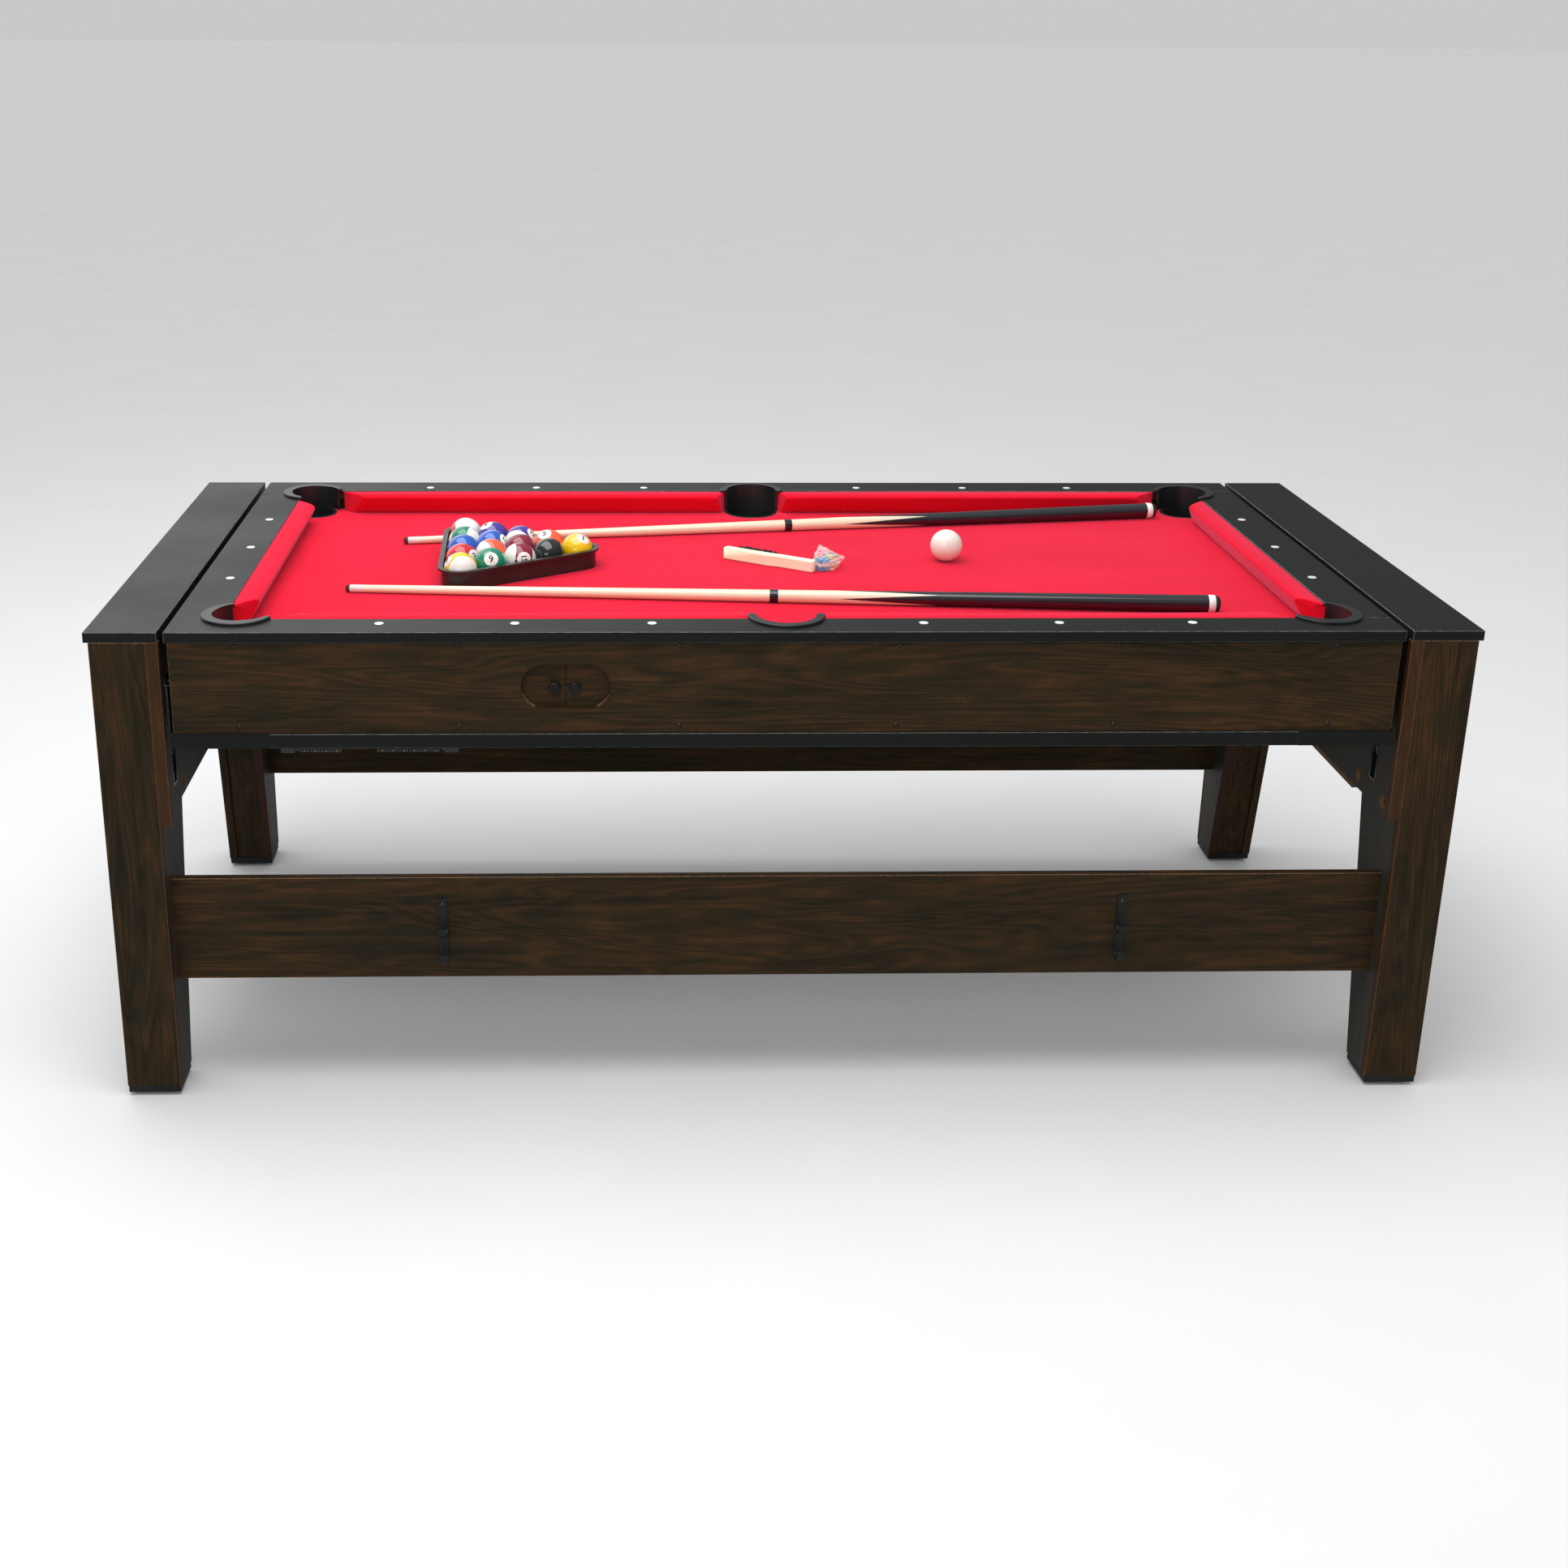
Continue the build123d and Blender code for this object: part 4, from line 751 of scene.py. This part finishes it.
def on_sphere(verts, radius, pole, roll):
    """Wraps flat points onto a sphere at local +Z or -Z."""
    turn = Matrix.Rotation(roll, 3, "Z")
    wrapped = []
    for v in verts:
        p = turn @ v
        direction = Vector((p.x, p.y * pole, pole * radius)).normalized()
        wrapped.append(direction * (radius + PRINT_LIFT))
    return wrapped


def sphere_mesh(radius, segments=64, rings=40):
    verts, faces = [Vector((0, 0, radius))], []
    for r in range(1, rings):
        a = math.pi * r / rings
        for s in range(segments):
            b = 2 * math.pi * s / segments
            verts.append(Vector((radius * math.sin(a) * math.cos(b), radius * math.sin(a) * math.sin(b),
                                 radius * math.cos(a))))
    verts.append(Vector((0, 0, -radius)))
    last = len(verts) - 1
    for s in range(segments):
        t = (s + 1) % segments
        faces.append((0, 1 + s, 1 + t))
        faces.append((last, last - segments + t, last - segments + s))
        for r in range(rings - 2):
            low, high = 1 + r * segments, 1 + (r + 1) * segments
            faces.append((low + s, high + s, high + t, low + t))
    return verts, faces


def seen_direction(right, up):
    """Unit vector from a spot on a ball as seen from the near side, above the table."""
    towards = Vector((0.05, -0.96, 0.27)).normalized()
    right_axis = Vector((1, 0.05, 0)).normalized()
    up_axis = right_axis.cross(-towards).normalized()
    depth = math.sqrt(max(0.0, 1 - right * right - up * up))
    return (right_axis * right + up_axis * up + towards * depth).normalized()


def upright_turn(matrix):
    """Degrees to turn figures about a ball's own Z so they stand upright to the eye."""
    local_up = matrix.to_3x3().inverted() @ Vector((0, 0.27, 0.96))
    return math.degrees(math.atan2(-local_up.x, local_up.y))


def digits_on_ball(number, radius, turn):
    """Both numbers of a ball, drawn about the origin, as one vertex and face list."""
    height = (17.0 if number < 10 else 14.0) * MM
    glyphs, glyph_faces = text_mesh(str(number), height)
    if number in (6, 9):                    # a bar under the figure tells them apart
        low = min(v.y for v in glyphs) - 1.6 * MM
        half, bar, steps = 3.6 * MM, 1.1 * MM, 6
        base = len(glyphs)
        for i in range(steps + 1):
            x = -half + 2 * half * i / steps
            glyphs += [Vector((x, low, 0)), Vector((x, low - bar, 0))]
        for i in range(steps):
            a = base + 2 * i
            glyph_faces.append([a, a + 1, a + 3, a + 2])
    verts, faces = [], []
    for pole in (1, -1):
        merge(verts, faces, on_sphere(glyphs, radius, pole, math.radians(turn)), glyph_faces)
    return verts, faces


def object_balls():
    ink = plastic("ball_ink", (0.006, 0.006, 0.008), (0.014, 0.014, 0.018), 0.15, bump=0.02)
    balls = solids("object_balls")
    centres = [middle(points) for points in balls]
    radius = float(balls[0][:, 0].max() - balls[0][:, 0].min()) / 2
    rows, row = [], [centres[0]]
    for centre in centres[1:]:
        if centre.x - row[-1].x > radius * 0.9:
            rows.append(sorted(row, key=lambda c: c.y))
            row = []
        row.append(centre)
    rows.append(sorted(row, key=lambda c: c.y))
    ordered = [centre for each in rows for centre in each]
    verts, faces = sphere_mesh(radius)
    for centre, (number, disc, axis, turn) in zip(ordered, BALL_FACES):
        striped = number > 8
        colour = BALL_COLOURS[number - 8 if striped else number]
        matrix = frame_matrix(centre, seen_direction(*axis), seen_direction(*disc))
        upright = upright_turn(matrix)
        material = ball_resin(f"resin_{number}", colour, striped)
        ball = add_piece(f"ball_{number}", verts, faces, material, "ball_set", sharp=180)
        place(ball, matrix, "ball_set")
        ink_verts, ink_faces = digits_on_ball(number, radius, upright + turn)
        digits = add_piece(f"ball_{number}_digits", ink_verts, ink_faces, ink, "ball_set", smooth=True,
                           sharp=180)
        place(digits, matrix, "ball_set")
    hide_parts("object_balls")


def white_ball():
    points = solids("cue_ball")[0]
    radius = float(points[:, 0].max() - points[:, 0].min()) / 2
    verts, faces = sphere_mesh(radius)
    ball = add_piece("white_ball", verts, faces, ivory_resin(), "white_ball", sharp=180)
    place(ball, Matrix.Translation(middle(points)), "white_ball")
    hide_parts("cue_ball")


# ================================================================ cues
CUE_LENGTH = 1.445
SPEARS = (0.570 * CUE_LENGTH, 0.682 * CUE_LENGTH)     # where the spear points start and end
JOINT_SHARE = 0.496                                   # place of the joint ring along the cue


def cue_pieces(node, body, parts):
    """Tip, ferrule, shaft, joint ring, butt band and bumper turned along the CAD cue's own axis."""
    points = solids(node)[0]
    centre, axis = long_axis(points)
    reach = (points - centre) @ axis
    ends = [points[abs(reach - value) < 0.5 * MM] for value in (reach.min(), reach.max())]
    spreads = [np.ptp(end, axis=0).max() for end in ends]
    tip, butt = (ends[0], ends[1]) if spreads[0] < spreads[1] else (ends[1], ends[0])
    tip_at, butt_at = Vector(tip.mean(0)), Vector(butt.mean(0))
    length = (butt_at - tip_at).length
    tip_r, butt_r = 6.5 * MM, 14.5 * MM

    def radius(z):
        t = min(1.0, max(0.0, (z - 30 * MM) / (length - 50 * MM)))
        return tip_r + (butt_r - tip_r) * t

    joint, band, bumper = JOINT_SHARE * length, length - 20 * MM, length - 9 * MM
    profiles = {
        "tip": [(2.0 * MM, 0.0), (4.2 * MM, 0.7 * MM), (5.6 * MM, 2.2 * MM), (6.0 * MM, 4.0 * MM),
                (6.0 * MM, 8.0 * MM)],
        "ferrule": [(6.1 * MM, 8.0 * MM), (6.5 * MM, 8.5 * MM), (6.5 * MM, 32.0 * MM)],
        "shaft": [(radius(z), z) for z in np.linspace(32 * MM, band, 60)],
        "ring": [(radius(joint), joint - 7 * MM), (radius(joint) + 0.5 * MM, joint - 6.5 * MM),
                 (radius(joint) + 0.5 * MM, joint + 6.5 * MM), (radius(joint), joint + 7 * MM)],
        "band": [(butt_r, band), (butt_r + 0.3 * MM, band + 0.4 * MM),
                 (butt_r + 0.3 * MM, bumper - 0.4 * MM), (butt_r, bumper)],
        "bumper": [(butt_r - 1.0 * MM, bumper), (butt_r - 0.8 * MM, bumper + 3 * MM),
                   (butt_r - 2.2 * MM, bumper + 6.5 * MM), (butt_r - 5 * MM, length - 0.6 * MM),
                   (butt_r - 9 * MM, length)],
    }
    matrix = frame_matrix(tip_at, (0, 0, 1), butt_at - tip_at)
    for part, profile in profiles.items():
        verts, faces = lathe(profile)
        piece = add_piece(f"{node}_{part}", verts, faces, parts[part], body, sharp=40,
                          closed=True)
        place(piece, matrix, body)
        if part == "shaft":
            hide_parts(node)


def cues():
    parts = {
        "tip": powder("tip_leather", (0.06, 0.020, 0.018), (0.14, 0.050, 0.040)),
        "ferrule": plastic("ferrule_white", (0.74, 0.66, 0.62), (0.84, 0.80, 0.76), 0.3, coat=0.3),
        "shaft": cue_wood(*SPEARS),
        "ring": plastic("ring_black", (0.006, 0.007, 0.010), (0.014, 0.016, 0.024), 0.15, coat=0.8),
        "band": plastic("band_white", (0.80, 0.80, 0.78), (0.88, 0.88, 0.86), 0.2, coat=0.5),
        "bumper": plastic("bumper_rubber", (0.012, 0.012, 0.014), (0.024, 0.024, 0.027), 0.6),
    }
    cue_pieces("cue_a", "cue_one", parts)
    cue_pieces("cue_b", "cue_two", parts)


# ================================================================ brush and chalk
def outline_piece(name, outline, low, high, material, body):
    """Prism over a plan outline, drawn about the origin."""
    count = len(outline)
    verts = [(x, y, low) for x, y in outline] + [(x, y, high) for x, y in outline]
    faces = [tuple(reversed(range(count))), tuple(range(count, 2 * count))]
    faces += [(i, (i + 1) % count, count + (i + 1) % count, count + i) for i in range(count)]
    return add_piece(name, verts, faces, material, body, sharp=30)


def brush():
    """Table brush lying on its side: cream handle with a narrow grip, and rows of black tufts."""
    handle_points, tuft_points = sorted(solids("cloth_brush"), key=len, reverse=True)
    handle_size = np.ptp(handle_points, axis=0)
    _, axis = long_axis(handle_points)
    centre, tufts = middle(handle_points), middle(tuft_points)
    along = Vector((axis[0], axis[1], 0)).normalized()
    if (tufts - centre).dot(along) > 0:
        along = -along
    across = Vector((-along.y, along.x, 0))
    if (tufts - centre).dot(across) < 0:
        across = -across
    height = float(handle_size[2])
    matrix = Matrix((along, across, Vector((0, 0, 1)))).transposed().to_4x4()
    matrix.translation = Vector((centre.x, centre.y, float(handle_points[:, 2].min())))
    half = float(np.ptp((handle_points - handle_points.mean(0)) @ axis)) / 2 - 0.4 * MM
    outline = [(-half, -8 * MM), (-half + 3 * MM, -9 * MM), (-10 * MM, -9 * MM), (6 * MM, -8.6 * MM),
               (18 * MM, -5.4 * MM), (30 * MM, -5 * MM), (half - 3 * MM, -5 * MM), (half, -3.5 * MM),
               (half, 7.5 * MM), (half - 3 * MM, 9 * MM), (30 * MM, 9 * MM), (18 * MM, 8.7 * MM),
               (6 * MM, 7.2 * MM), (-10 * MM, 7 * MM), (-half + 3 * MM, 7 * MM), (-half, 6 * MM)]
    cream = plastic("brush_cream", (0.90, 0.88, 0.58), (0.97, 0.96, 0.74), 0.28, coat=0.35, bump=0.08)
    handle = outline_piece("brush_handle", outline, 0.0, height, cream, "brush")
    bevelled(handle, 3.2 * MM, 5)
    place(handle, matrix, "brush")
    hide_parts("cloth_brush")
    source = random.Random(4)
    verts, faces = [], []
    rows, columns, sides = 4, 30, 6
    for row in range(rows):
        for column in range(columns):
            x = -half + 18 * MM + (half - 12 * MM) * column / (columns - 1)
            z = height * (0.18 + 0.64 * row / (rows - 1))
            lean_x, lean_z = source.uniform(-1.6, 1.6) * MM, source.uniform(-1.4, 1.4) * MM
            tip = (18.0 + source.uniform(-1.6, 1.2)) * MM
            base = len(verts)
            for step, (y, radius) in enumerate(((6 * MM, 1.15 * MM), (14 * MM, 1.45 * MM),
                                                (6 * MM + tip, 1.9 * MM))):
                share = step / 2
                for side in range(sides):
                    a = 2 * math.pi * side / sides
                    verts.append((x + lean_x * share + radius * math.cos(a), y,
                                  z + lean_z * share + radius * math.sin(a)))
            faces += ring_faces(3, sides, base)
            faces.append(tuple(range(base, base + sides)))
            hub = len(verts)
            verts.append((x + lean_x, 6 * MM + tip + 0.8 * MM, z + lean_z))
            top = base + 2 * sides
            faces += [(top + s, top + (s + 1) % sides, hub) for s in range(sides)]
    hair = plastic("bristle_black", (0.006, 0.006, 0.007), (0.022, 0.022, 0.024), 0.5, texture=1800,
                   bump=0.8)
    bristles = add_piece("brush_bristles", verts, faces, hair, "brush", sharp=60, closed=True)
    place(bristles, matrix, "brush")


def chalk_cubes():
    """Two labelled chalk cubes, with the chalk worn to a dish, in a crumpled clear bag."""
    labels = (label_paper("label_blue", (0.10, 0.34, 0.62)), label_paper("label_yellow", (0.86, 0.58, 0.10)))
    chalk = powder("chalk_blue", (0.10, 0.26, 0.42), (0.20, 0.42, 0.60))
    cubes = solids("chalk")
    size = 21 * MM
    centres = []
    for index, (points, label) in enumerate(zip(cubes, labels)):
        lo, hi = points.min(0), points.max(0)
        centre = middle(points)
        centres.append(centre)
        far = points[points[:, 0].argmax()]
        turn = math.atan2(far[1] - centre.y, far[0] - centre.x) - math.pi / 4
        half = size / 2 - 0.2 * MM
        outline = [(-half, -half), (half, -half), (half, half), (-half, half)]
        sides = outline_piece(f"chalk_label_{index}", outline, -half, half - 1.6 * MM, label,
                              "chalk_cubes")
        bevelled(sides, 0.9 * MM, 3)
        matrix = Matrix.Translation((centre.x, centre.y, (lo[2] + hi[2]) / 2))
        matrix = matrix @ Matrix.Rotation(turn, 4, "Z")
        place(sides, matrix, "chalk_cubes")
        rings, segments = 7, 32
        verts, faces = [(0, 0, half - 3.4 * MM)], []
        for r in range(1, rings + 1):
            share = r / rings
            reach = (half - 0.7 * MM)
            for s in range(segments):
                a = 2 * math.pi * s / segments
                squared = 1 / max(abs(math.cos(a)), abs(math.sin(a)))
                radius = reach * share * (1 + (squared - 1) * share ** 3)
                dish = half - 0.3 * MM - 3.1 * MM * (1 - share ** 2)
                verts.append((radius * math.cos(a), radius * math.sin(a), dish))
        for s in range(segments):
            faces.append((0, 1 + s, 1 + (s + 1) % segments))
        for r in range(rings - 1):
            for s in range(segments):
                low, high = 1 + r * segments, 1 + (r + 1) * segments
                t = (s + 1) % segments
                faces.append((low + s, high + s, high + t, low + t))
        edge = 1 + (rings - 1) * segments
        skirt = len(verts)
        verts += [(v[0], v[1], half - 5 * MM) for v in verts[edge:edge + segments]]
        faces += [(edge + s, skirt + s, skirt + (s + 1) % segments, edge + (s + 1) % segments)
                  for s in range(segments)]
        faces.append(tuple(range(skirt, skirt + segments)))
        dish_piece = add_piece(f"chalk_top_{index}", verts, faces, chalk, "chalk_cubes", sharp=60,
                               closed=True)
        place(dish_piece, matrix, "chalk_cubes")
        if index == 0:
            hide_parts("chalk")
    wrapper(centres, size)


def wrapper(centres, size):
    """Crumpled film round both cubes, gathered to a twisted tail."""
    centre = sum(centres, Vector()) / len(centres)
    floor_z = min(c.z for c in centres) - size / 2
    source = random.Random(11)
    folds = [(Vector([source.uniform(-1, 1) for _ in range(3)]).normalized(), source.uniform(5, 13),
              source.uniform(0, 6.28)) for _ in range(9)]
    verts, faces = sphere_mesh(1.0, 56, 36)
    shaped = []
    for v in verts:
        d = v.normalized()
        waves = [abs(math.sin(axis.dot(d) * count + phase)) for axis, count, phase in folds]
        crumple = sum(waves) / len(folds)
        reach = 0.72 + 0.55 * crumple
        p = Vector((d.x * 21 * MM * reach, d.y * 27 * MM * reach, d.z * 17 * MM * reach))
        flap = max(0.0, d.dot(Vector((-0.25, 0.75, 0.60)).normalized())) ** 10
        p += Vector((-0.25, 0.65, 0.75)) * flap * 13 * MM
        ear = max(0.0, d.dot(Vector((0.95, 0.0, 0.25)).normalized())) ** 14
        p += Vector((1.0, 0.1, 0.1)) * ear * 9 * MM
        p += Vector((centre.x, centre.y, floor_z + size * 0.62))
        p.z = max(p.z, floor_z + 0.15 * MM)
        shaped.append(p)
    add_piece("chalk_wrapper", shaped, faces, clear_wrap(), "chalk_cubes", sharp=22)


# ================================================================ scorer digits
def bead_digits():
    """White numbers on the bead faces that look up when the rink is on top."""
    white = plastic("bead_print", (0.75, 0.75, 0.75), (0.85, 0.85, 0.85), 0.4)
    for name, right, up in (("front", 1, -1), ("rear", -1, 1)):
        runs = {group: solids(f"beads_{name}_{group}") for group in ("a", "b")}
        order = sorted(((middle(points).x * right, group, index) for group, beads in runs.items()
                        for index, points in enumerate(beads)))
        collected = {"a": ([], []), "b": ([], [])}
        for place_in_row, (_, group, index) in enumerate(order):
            number = 10 - place_in_row
            points = runs[group][index]
            centre = middle(points)
            glyphs, glyph_faces = text_mesh(str(number), (9.0 if number < 10 else 7.5) * MM)
            z = float(points[:, 2].min()) - PRINT_LIFT
            shift = -1.2 * MM * up
            printed = [(centre.x + g.x * right, centre.y + g.y * up + shift, z) for g in glyphs]
            merge(*collected[group], printed, [face[::-1] for face in glyph_faces])
        for group, (verts, faces) in collected.items():
            add_piece(f"bead_digits_{name}_{group}", verts, faces, white,
                      f"bead_group_{name}_{group}", smooth=False)


# ================================================================ screws
def screw_head(at, radius, height, out):
    """Domed head with a cross recess, drawn about its own axis and placed on a face along Y."""
    rings, segments = 12, 48
    arm, reach, deep = radius * 0.17, radius * 0.66, height * 0.55
    verts = []
    for r in range(rings + 1):
        share = r / rings
        for s in range(segments):
            a = 2 * math.pi * s / segments
            x, y = radius * share * math.cos(a), radius * share * math.sin(a)
            z = height * (1 - share ** 2.6) ** 0.6
            spread = min(abs(x), abs(y))
            if spread < arm and max(abs(x), abs(y)) < reach:
                z -= deep * (1 - 0.55 * max(abs(x), abs(y)) / reach)
            verts.append((at[0] + x, at[1] + out * z, at[2] + y))
    return verts, ring_faces(rings + 1, segments)


def apron_screw_heads(material):
    verts, faces = [], []
    for points in solids("apron_screws"):
        lo, hi = points.min(0), points.max(0)
        out = 1 if lo[1] > 0 else -1
        face_y = lo[1] if out > 0 else hi[1]
        at = ((lo[0] + hi[0]) / 2, face_y, (lo[2] + hi[2]) / 2)
        merge(verts, faces, *screw_head(at, (hi[0] - lo[0]) / 2, hi[1] - lo[1], out))
    piece = add_piece("apron_screw_heads", verts, faces, material, "cabinet", sharp=25,
                      closed=True)
    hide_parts("apron_screws")


# ================================================================ stage
def stage():
    g = Graph("pale_floor")
    speck = g.noise(g.at, 3.0, 4.0)
    pale = g.ramp(speck, (0.3, (0.86, 0.86, 0.86)), (0.7, (0.88, 0.88, 0.88)))
    seen = g.add("ShaderNodeLightPath").outputs["Is Camera Ray"]
    g.set(base_color=g.mix(seen, (0.42, 0.42, 0.42), pale), roughness=0.9, specular_ior_level=0.1)
    reach = 90.0
    mesh = bpy.data.meshes.new("floor")
    mesh.from_pydata([(-reach, -reach, 0), (reach, -reach, 0), (reach, reach, 0), (-reach, reach, 0)], [],
                     [(0, 1, 2, 3)])
    mesh.materials.append(g.material)
    floor = bpy.data.objects.new("floor", mesh)
    bpy.context.scene.collection.objects.link(floor)


def area_light(name, at, target, size, power):
    light = bpy.data.lights.new(name, "AREA")
    light.shape = "RECTANGLE"
    light.size, light.size_y = size
    light.energy = power
    holder = bpy.data.objects.new(name, light)
    holder.location = at
    holder.rotation_mode = "QUATERNION"
    holder.rotation_quaternion = (Vector(target) - Vector(at)).to_track_quat("-Z", "Y")
    bpy.context.scene.collection.objects.link(holder)


def lights():
    """Studio: pale all round to the eye, but reflections find one softbox behind and dark walls."""
    world = bpy.data.worlds.new("studio")
    world.use_nodes = True
    tree = world.node_tree
    out = tree.nodes["World Output"]
    path = tree.nodes.new("ShaderNodeLightPath")
    coordinates = tree.nodes.new("ShaderNodeTexCoord")
    parts = tree.nodes.new("ShaderNodeSeparateXYZ")
    tree.links.new(coordinates.outputs["Generated"], parts.inputs[0])

    def sky(low, high, strength):
        ramp = tree.nodes.new("ShaderNodeValToRGB")
        for element, at, level in zip(ramp.color_ramp.elements, (0.0, 0.85), (low, high)):
            element.position = at
            element.color = (level, level, level * 1.01, 1.0)
        tree.links.new(parts.outputs[2], ramp.inputs[0])
        background = tree.nodes.new("ShaderNodeBackground")
        background.inputs["Strength"].default_value = strength
        tree.links.new(ramp.outputs[0], background.inputs["Color"])
        return background.outputs[0]

    def choose(switch, first, second):
        mixer = tree.nodes.new("ShaderNodeMixShader")
        tree.links.new(path.outputs[switch], mixer.inputs[0])
        tree.links.new(first, mixer.inputs[1])
        tree.links.new(second, mixer.inputs[2])
        return mixer.outputs[0]

    def softbox(base, aim, start, full, strength):
        """Adds a soft bright patch round one direction to a sky."""
        turned = tree.nodes.new("ShaderNodeVectorMath")
        turned.operation = "DOT_PRODUCT"
        tree.links.new(coordinates.outputs["Generated"], turned.inputs[0])
        turned.inputs[1].default_value = Vector(aim).normalized()
        patch = tree.nodes.new("ShaderNodeMapRange")
        patch.interpolation_type = "SMOOTHSTEP"
        tree.links.new(turned.outputs["Value"], patch.inputs[0])
        for index, value in enumerate((start, full, 0.0, strength), 1):
            patch.inputs[index].default_value = value
        glow = tree.nodes.new("ShaderNodeBackground")
        tree.links.new(patch.outputs[0], glow.inputs["Strength"])
        both = tree.nodes.new("ShaderNodeAddShader")
        tree.links.new(base, both.inputs[0])
        tree.links.new(glow.outputs[0], both.inputs[1])
        return both.outputs[0]

    diffuse, seen = sky(0.50, 1.0, 0.80), sky(0.585, 0.585, 1.0)
    glossy = softbox(sky(0.05, 0.50, 1.0), (-0.55, 0.80, 0.26), 0.70, 0.96, 1.45)
    shader = choose("Is Camera Ray", choose("Is Glossy Ray", diffuse, glossy), seen)
    tree.links.new(shader, out.inputs["Surface"])
    bpy.context.scene.world = world
    area_light("overhead", (-0.7, -0.3, 3.4), (0, 0.1, 0.8), (3.6, 2.2), 82)
    area_light("front_fill", (-1.6, -4.6, 2.2), (0, 0, 0.6), (2.4, 1.4), 22)
    bpy.context.scene.view_settings.view_transform = "Standard"


def camera():
    """Eye height and heading of a person standing in front, a little left of the middle."""
    yaw, pitch, roll = 0.0289, 0.3184, 0.0075
    ahead = Vector((math.sin(yaw), math.cos(yaw), 0))
    right = Vector((math.cos(yaw), -math.sin(yaw), 0))
    forward = ahead * math.cos(pitch) - Vector((0, 0, math.sin(pitch)))
    up = ahead * math.sin(pitch) + Vector((0, 0, math.cos(pitch)))
    side = right * math.cos(roll) + up * math.sin(roll)
    top = up * math.cos(roll) - right * math.sin(roll)
    data = bpy.data.cameras.new("camera")
    data.sensor_width = 36.0
    data.lens = 44.0
    data.shift_x, data.shift_y = 0.0746, -0.0935
    data.clip_end = 300.0
    holder = bpy.data.objects.new("camera", data)
    matrix = Matrix((side, top, -forward)).transposed().to_4x4()
    matrix.translation = (-0.2667, -3.2298, 1.692)
    holder.matrix_world = matrix
    bpy.context.scene.collection.objects.link(holder)
    bpy.context.scene.camera = holder


# ================================================================ build
def dress_stand(black, satin):
    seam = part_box("inner_panel_right")[0].x
    grain_x = walnut("walnut_long", "X")
    grain_z = walnut("walnut_upright", "Z", strip=(seam - 18 * MM, seam))
    bolts = [middle(p) for p in solids("stand_screws") if abs(middle(p).x) > 0.9]
    dress(black, "end_cap_left", "end_cap_right")
    dress(grain_z, "leg_face_boards", "leg_back_boards", "outer_panel_left", "outer_panel_right")
    dress(grain_x, "stretcher_front", "stretcher_rear")
    dress(side_laminate(bolts), "inner_panel_left", "inner_panel_right")
    dress(fibreboard(), "cross_rails")
    dress(satin, "foot_caps", "cue_clips")
    dress(plastic("liner_gloss", (0.006, 0.007, 0.008), (0.015, 0.016, 0.017), 0.22, coat=0.4),
          "lock_liners")
    dress(metal("dark_bolt", (0.05, 0.05, 0.05), (0.12, 0.12, 0.12), 0.3), "stand_screws")
    steel = metal("plated_steel", (0.45, 0.45, 0.46), (0.66, 0.66, 0.68), 0.25)
    dress(steel, "pivot_bushes", "lock_pin_left", "lock_pin_right")
    dress(plastic("foot_black", (0.010, 0.010, 0.010), (0.022, 0.022, 0.022), 0.55),
          *[f"levelling_foot_{end}_{side}" for end in ("front", "rear") for side in ("left", "right")])
    return grain_x, steel


def dress_cabinet(black, satin, grain_x, steel):
    dress(black, "pool_rails_long", "pool_rails_end", "hockey_rails", "hockey_corners")
    dress(grain_x, "apron_front", "apron_rear", "hatch_door_left", "hatch_door_right")
    dress(walnut("walnut_end", "Y", 0.8), "cabinet_ends")
    dress(fibreboard("bed_board"), "pool_bed")
    # the inner frame's board is darkened almost to black
    dress(fibreboard("near_black_board", 0.05), "inner_frame")
    dress(satin, "storage_box", "goal_boxes", "blower_housing", "blower_impeller")
    dress(plastic("pocket_plastic", (0.008, 0.009, 0.010), (0.016, 0.018, 0.019), 0.36, texture=420.0,
                  spec=0.5), "corner_pockets", "side_pockets")
    dress(plastic("rack_plastic", (0.011, 0.011, 0.010), (0.020, 0.020, 0.018), 0.34, texture=520.0,
                  spec=0.55), "ball_rack")
    gloss = plastic("gloss_black", (0.006, 0.007, 0.008), (0.016, 0.018, 0.020), 0.12, coat=0.8, bump=0.05)
    dress(gloss, "scorer_frames", "beads_front_a", "beads_front_b", "beads_rear_a", "beads_rear_b")
    dress(plastic("knob_black", (0.005, 0.005, 0.005), (0.011, 0.011, 0.011), 0.30), "hatch_knob_left",
          "hatch_knob_right")
    dress(steel, "pivot_flanges")
    dress(plastic("sight_pearl", (0.80, 0.82, 0.84), (0.90, 0.91, 0.92), 0.15, texture=90, coat=0.5),
          "rail_sights")
    dress(plastic("rink_strip", (0.55, 0.006, 0.025), (0.68, 0.012, 0.045), 0.2, coat=0.5), "rink_walls")
    dress(rink_surface(0.873), "hockey_bed")
    apron_screw_heads(plastic("screw_black", (0.006, 0.006, 0.006), (0.018, 0.018, 0.018), 0.28, spec=0.7))


satin_black = plastic("satin_black", (0.009, 0.010, 0.010), (0.019, 0.020, 0.020), 0.42)
laminate = black_laminate(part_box("pool_rails_long")[1].x)
walnut_long, plated = dress_stand(laminate, satin_black)
dress_cabinet(laminate, satin_black, walnut_long, plated)

red_felt = felt("red_felt", (0.58, 0.0008, 0.0080), (0.80, 0.0060, 0.0270))
skins = [cushion(number, points, red_felt) for number, points in enumerate(solids("cushions"))]
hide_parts("cushions")
bed_cloth(red_felt)
object_balls()
white_ball()
cues()
brush()
chalk_cubes()
bead_digits()

stage()
lights()
camera()
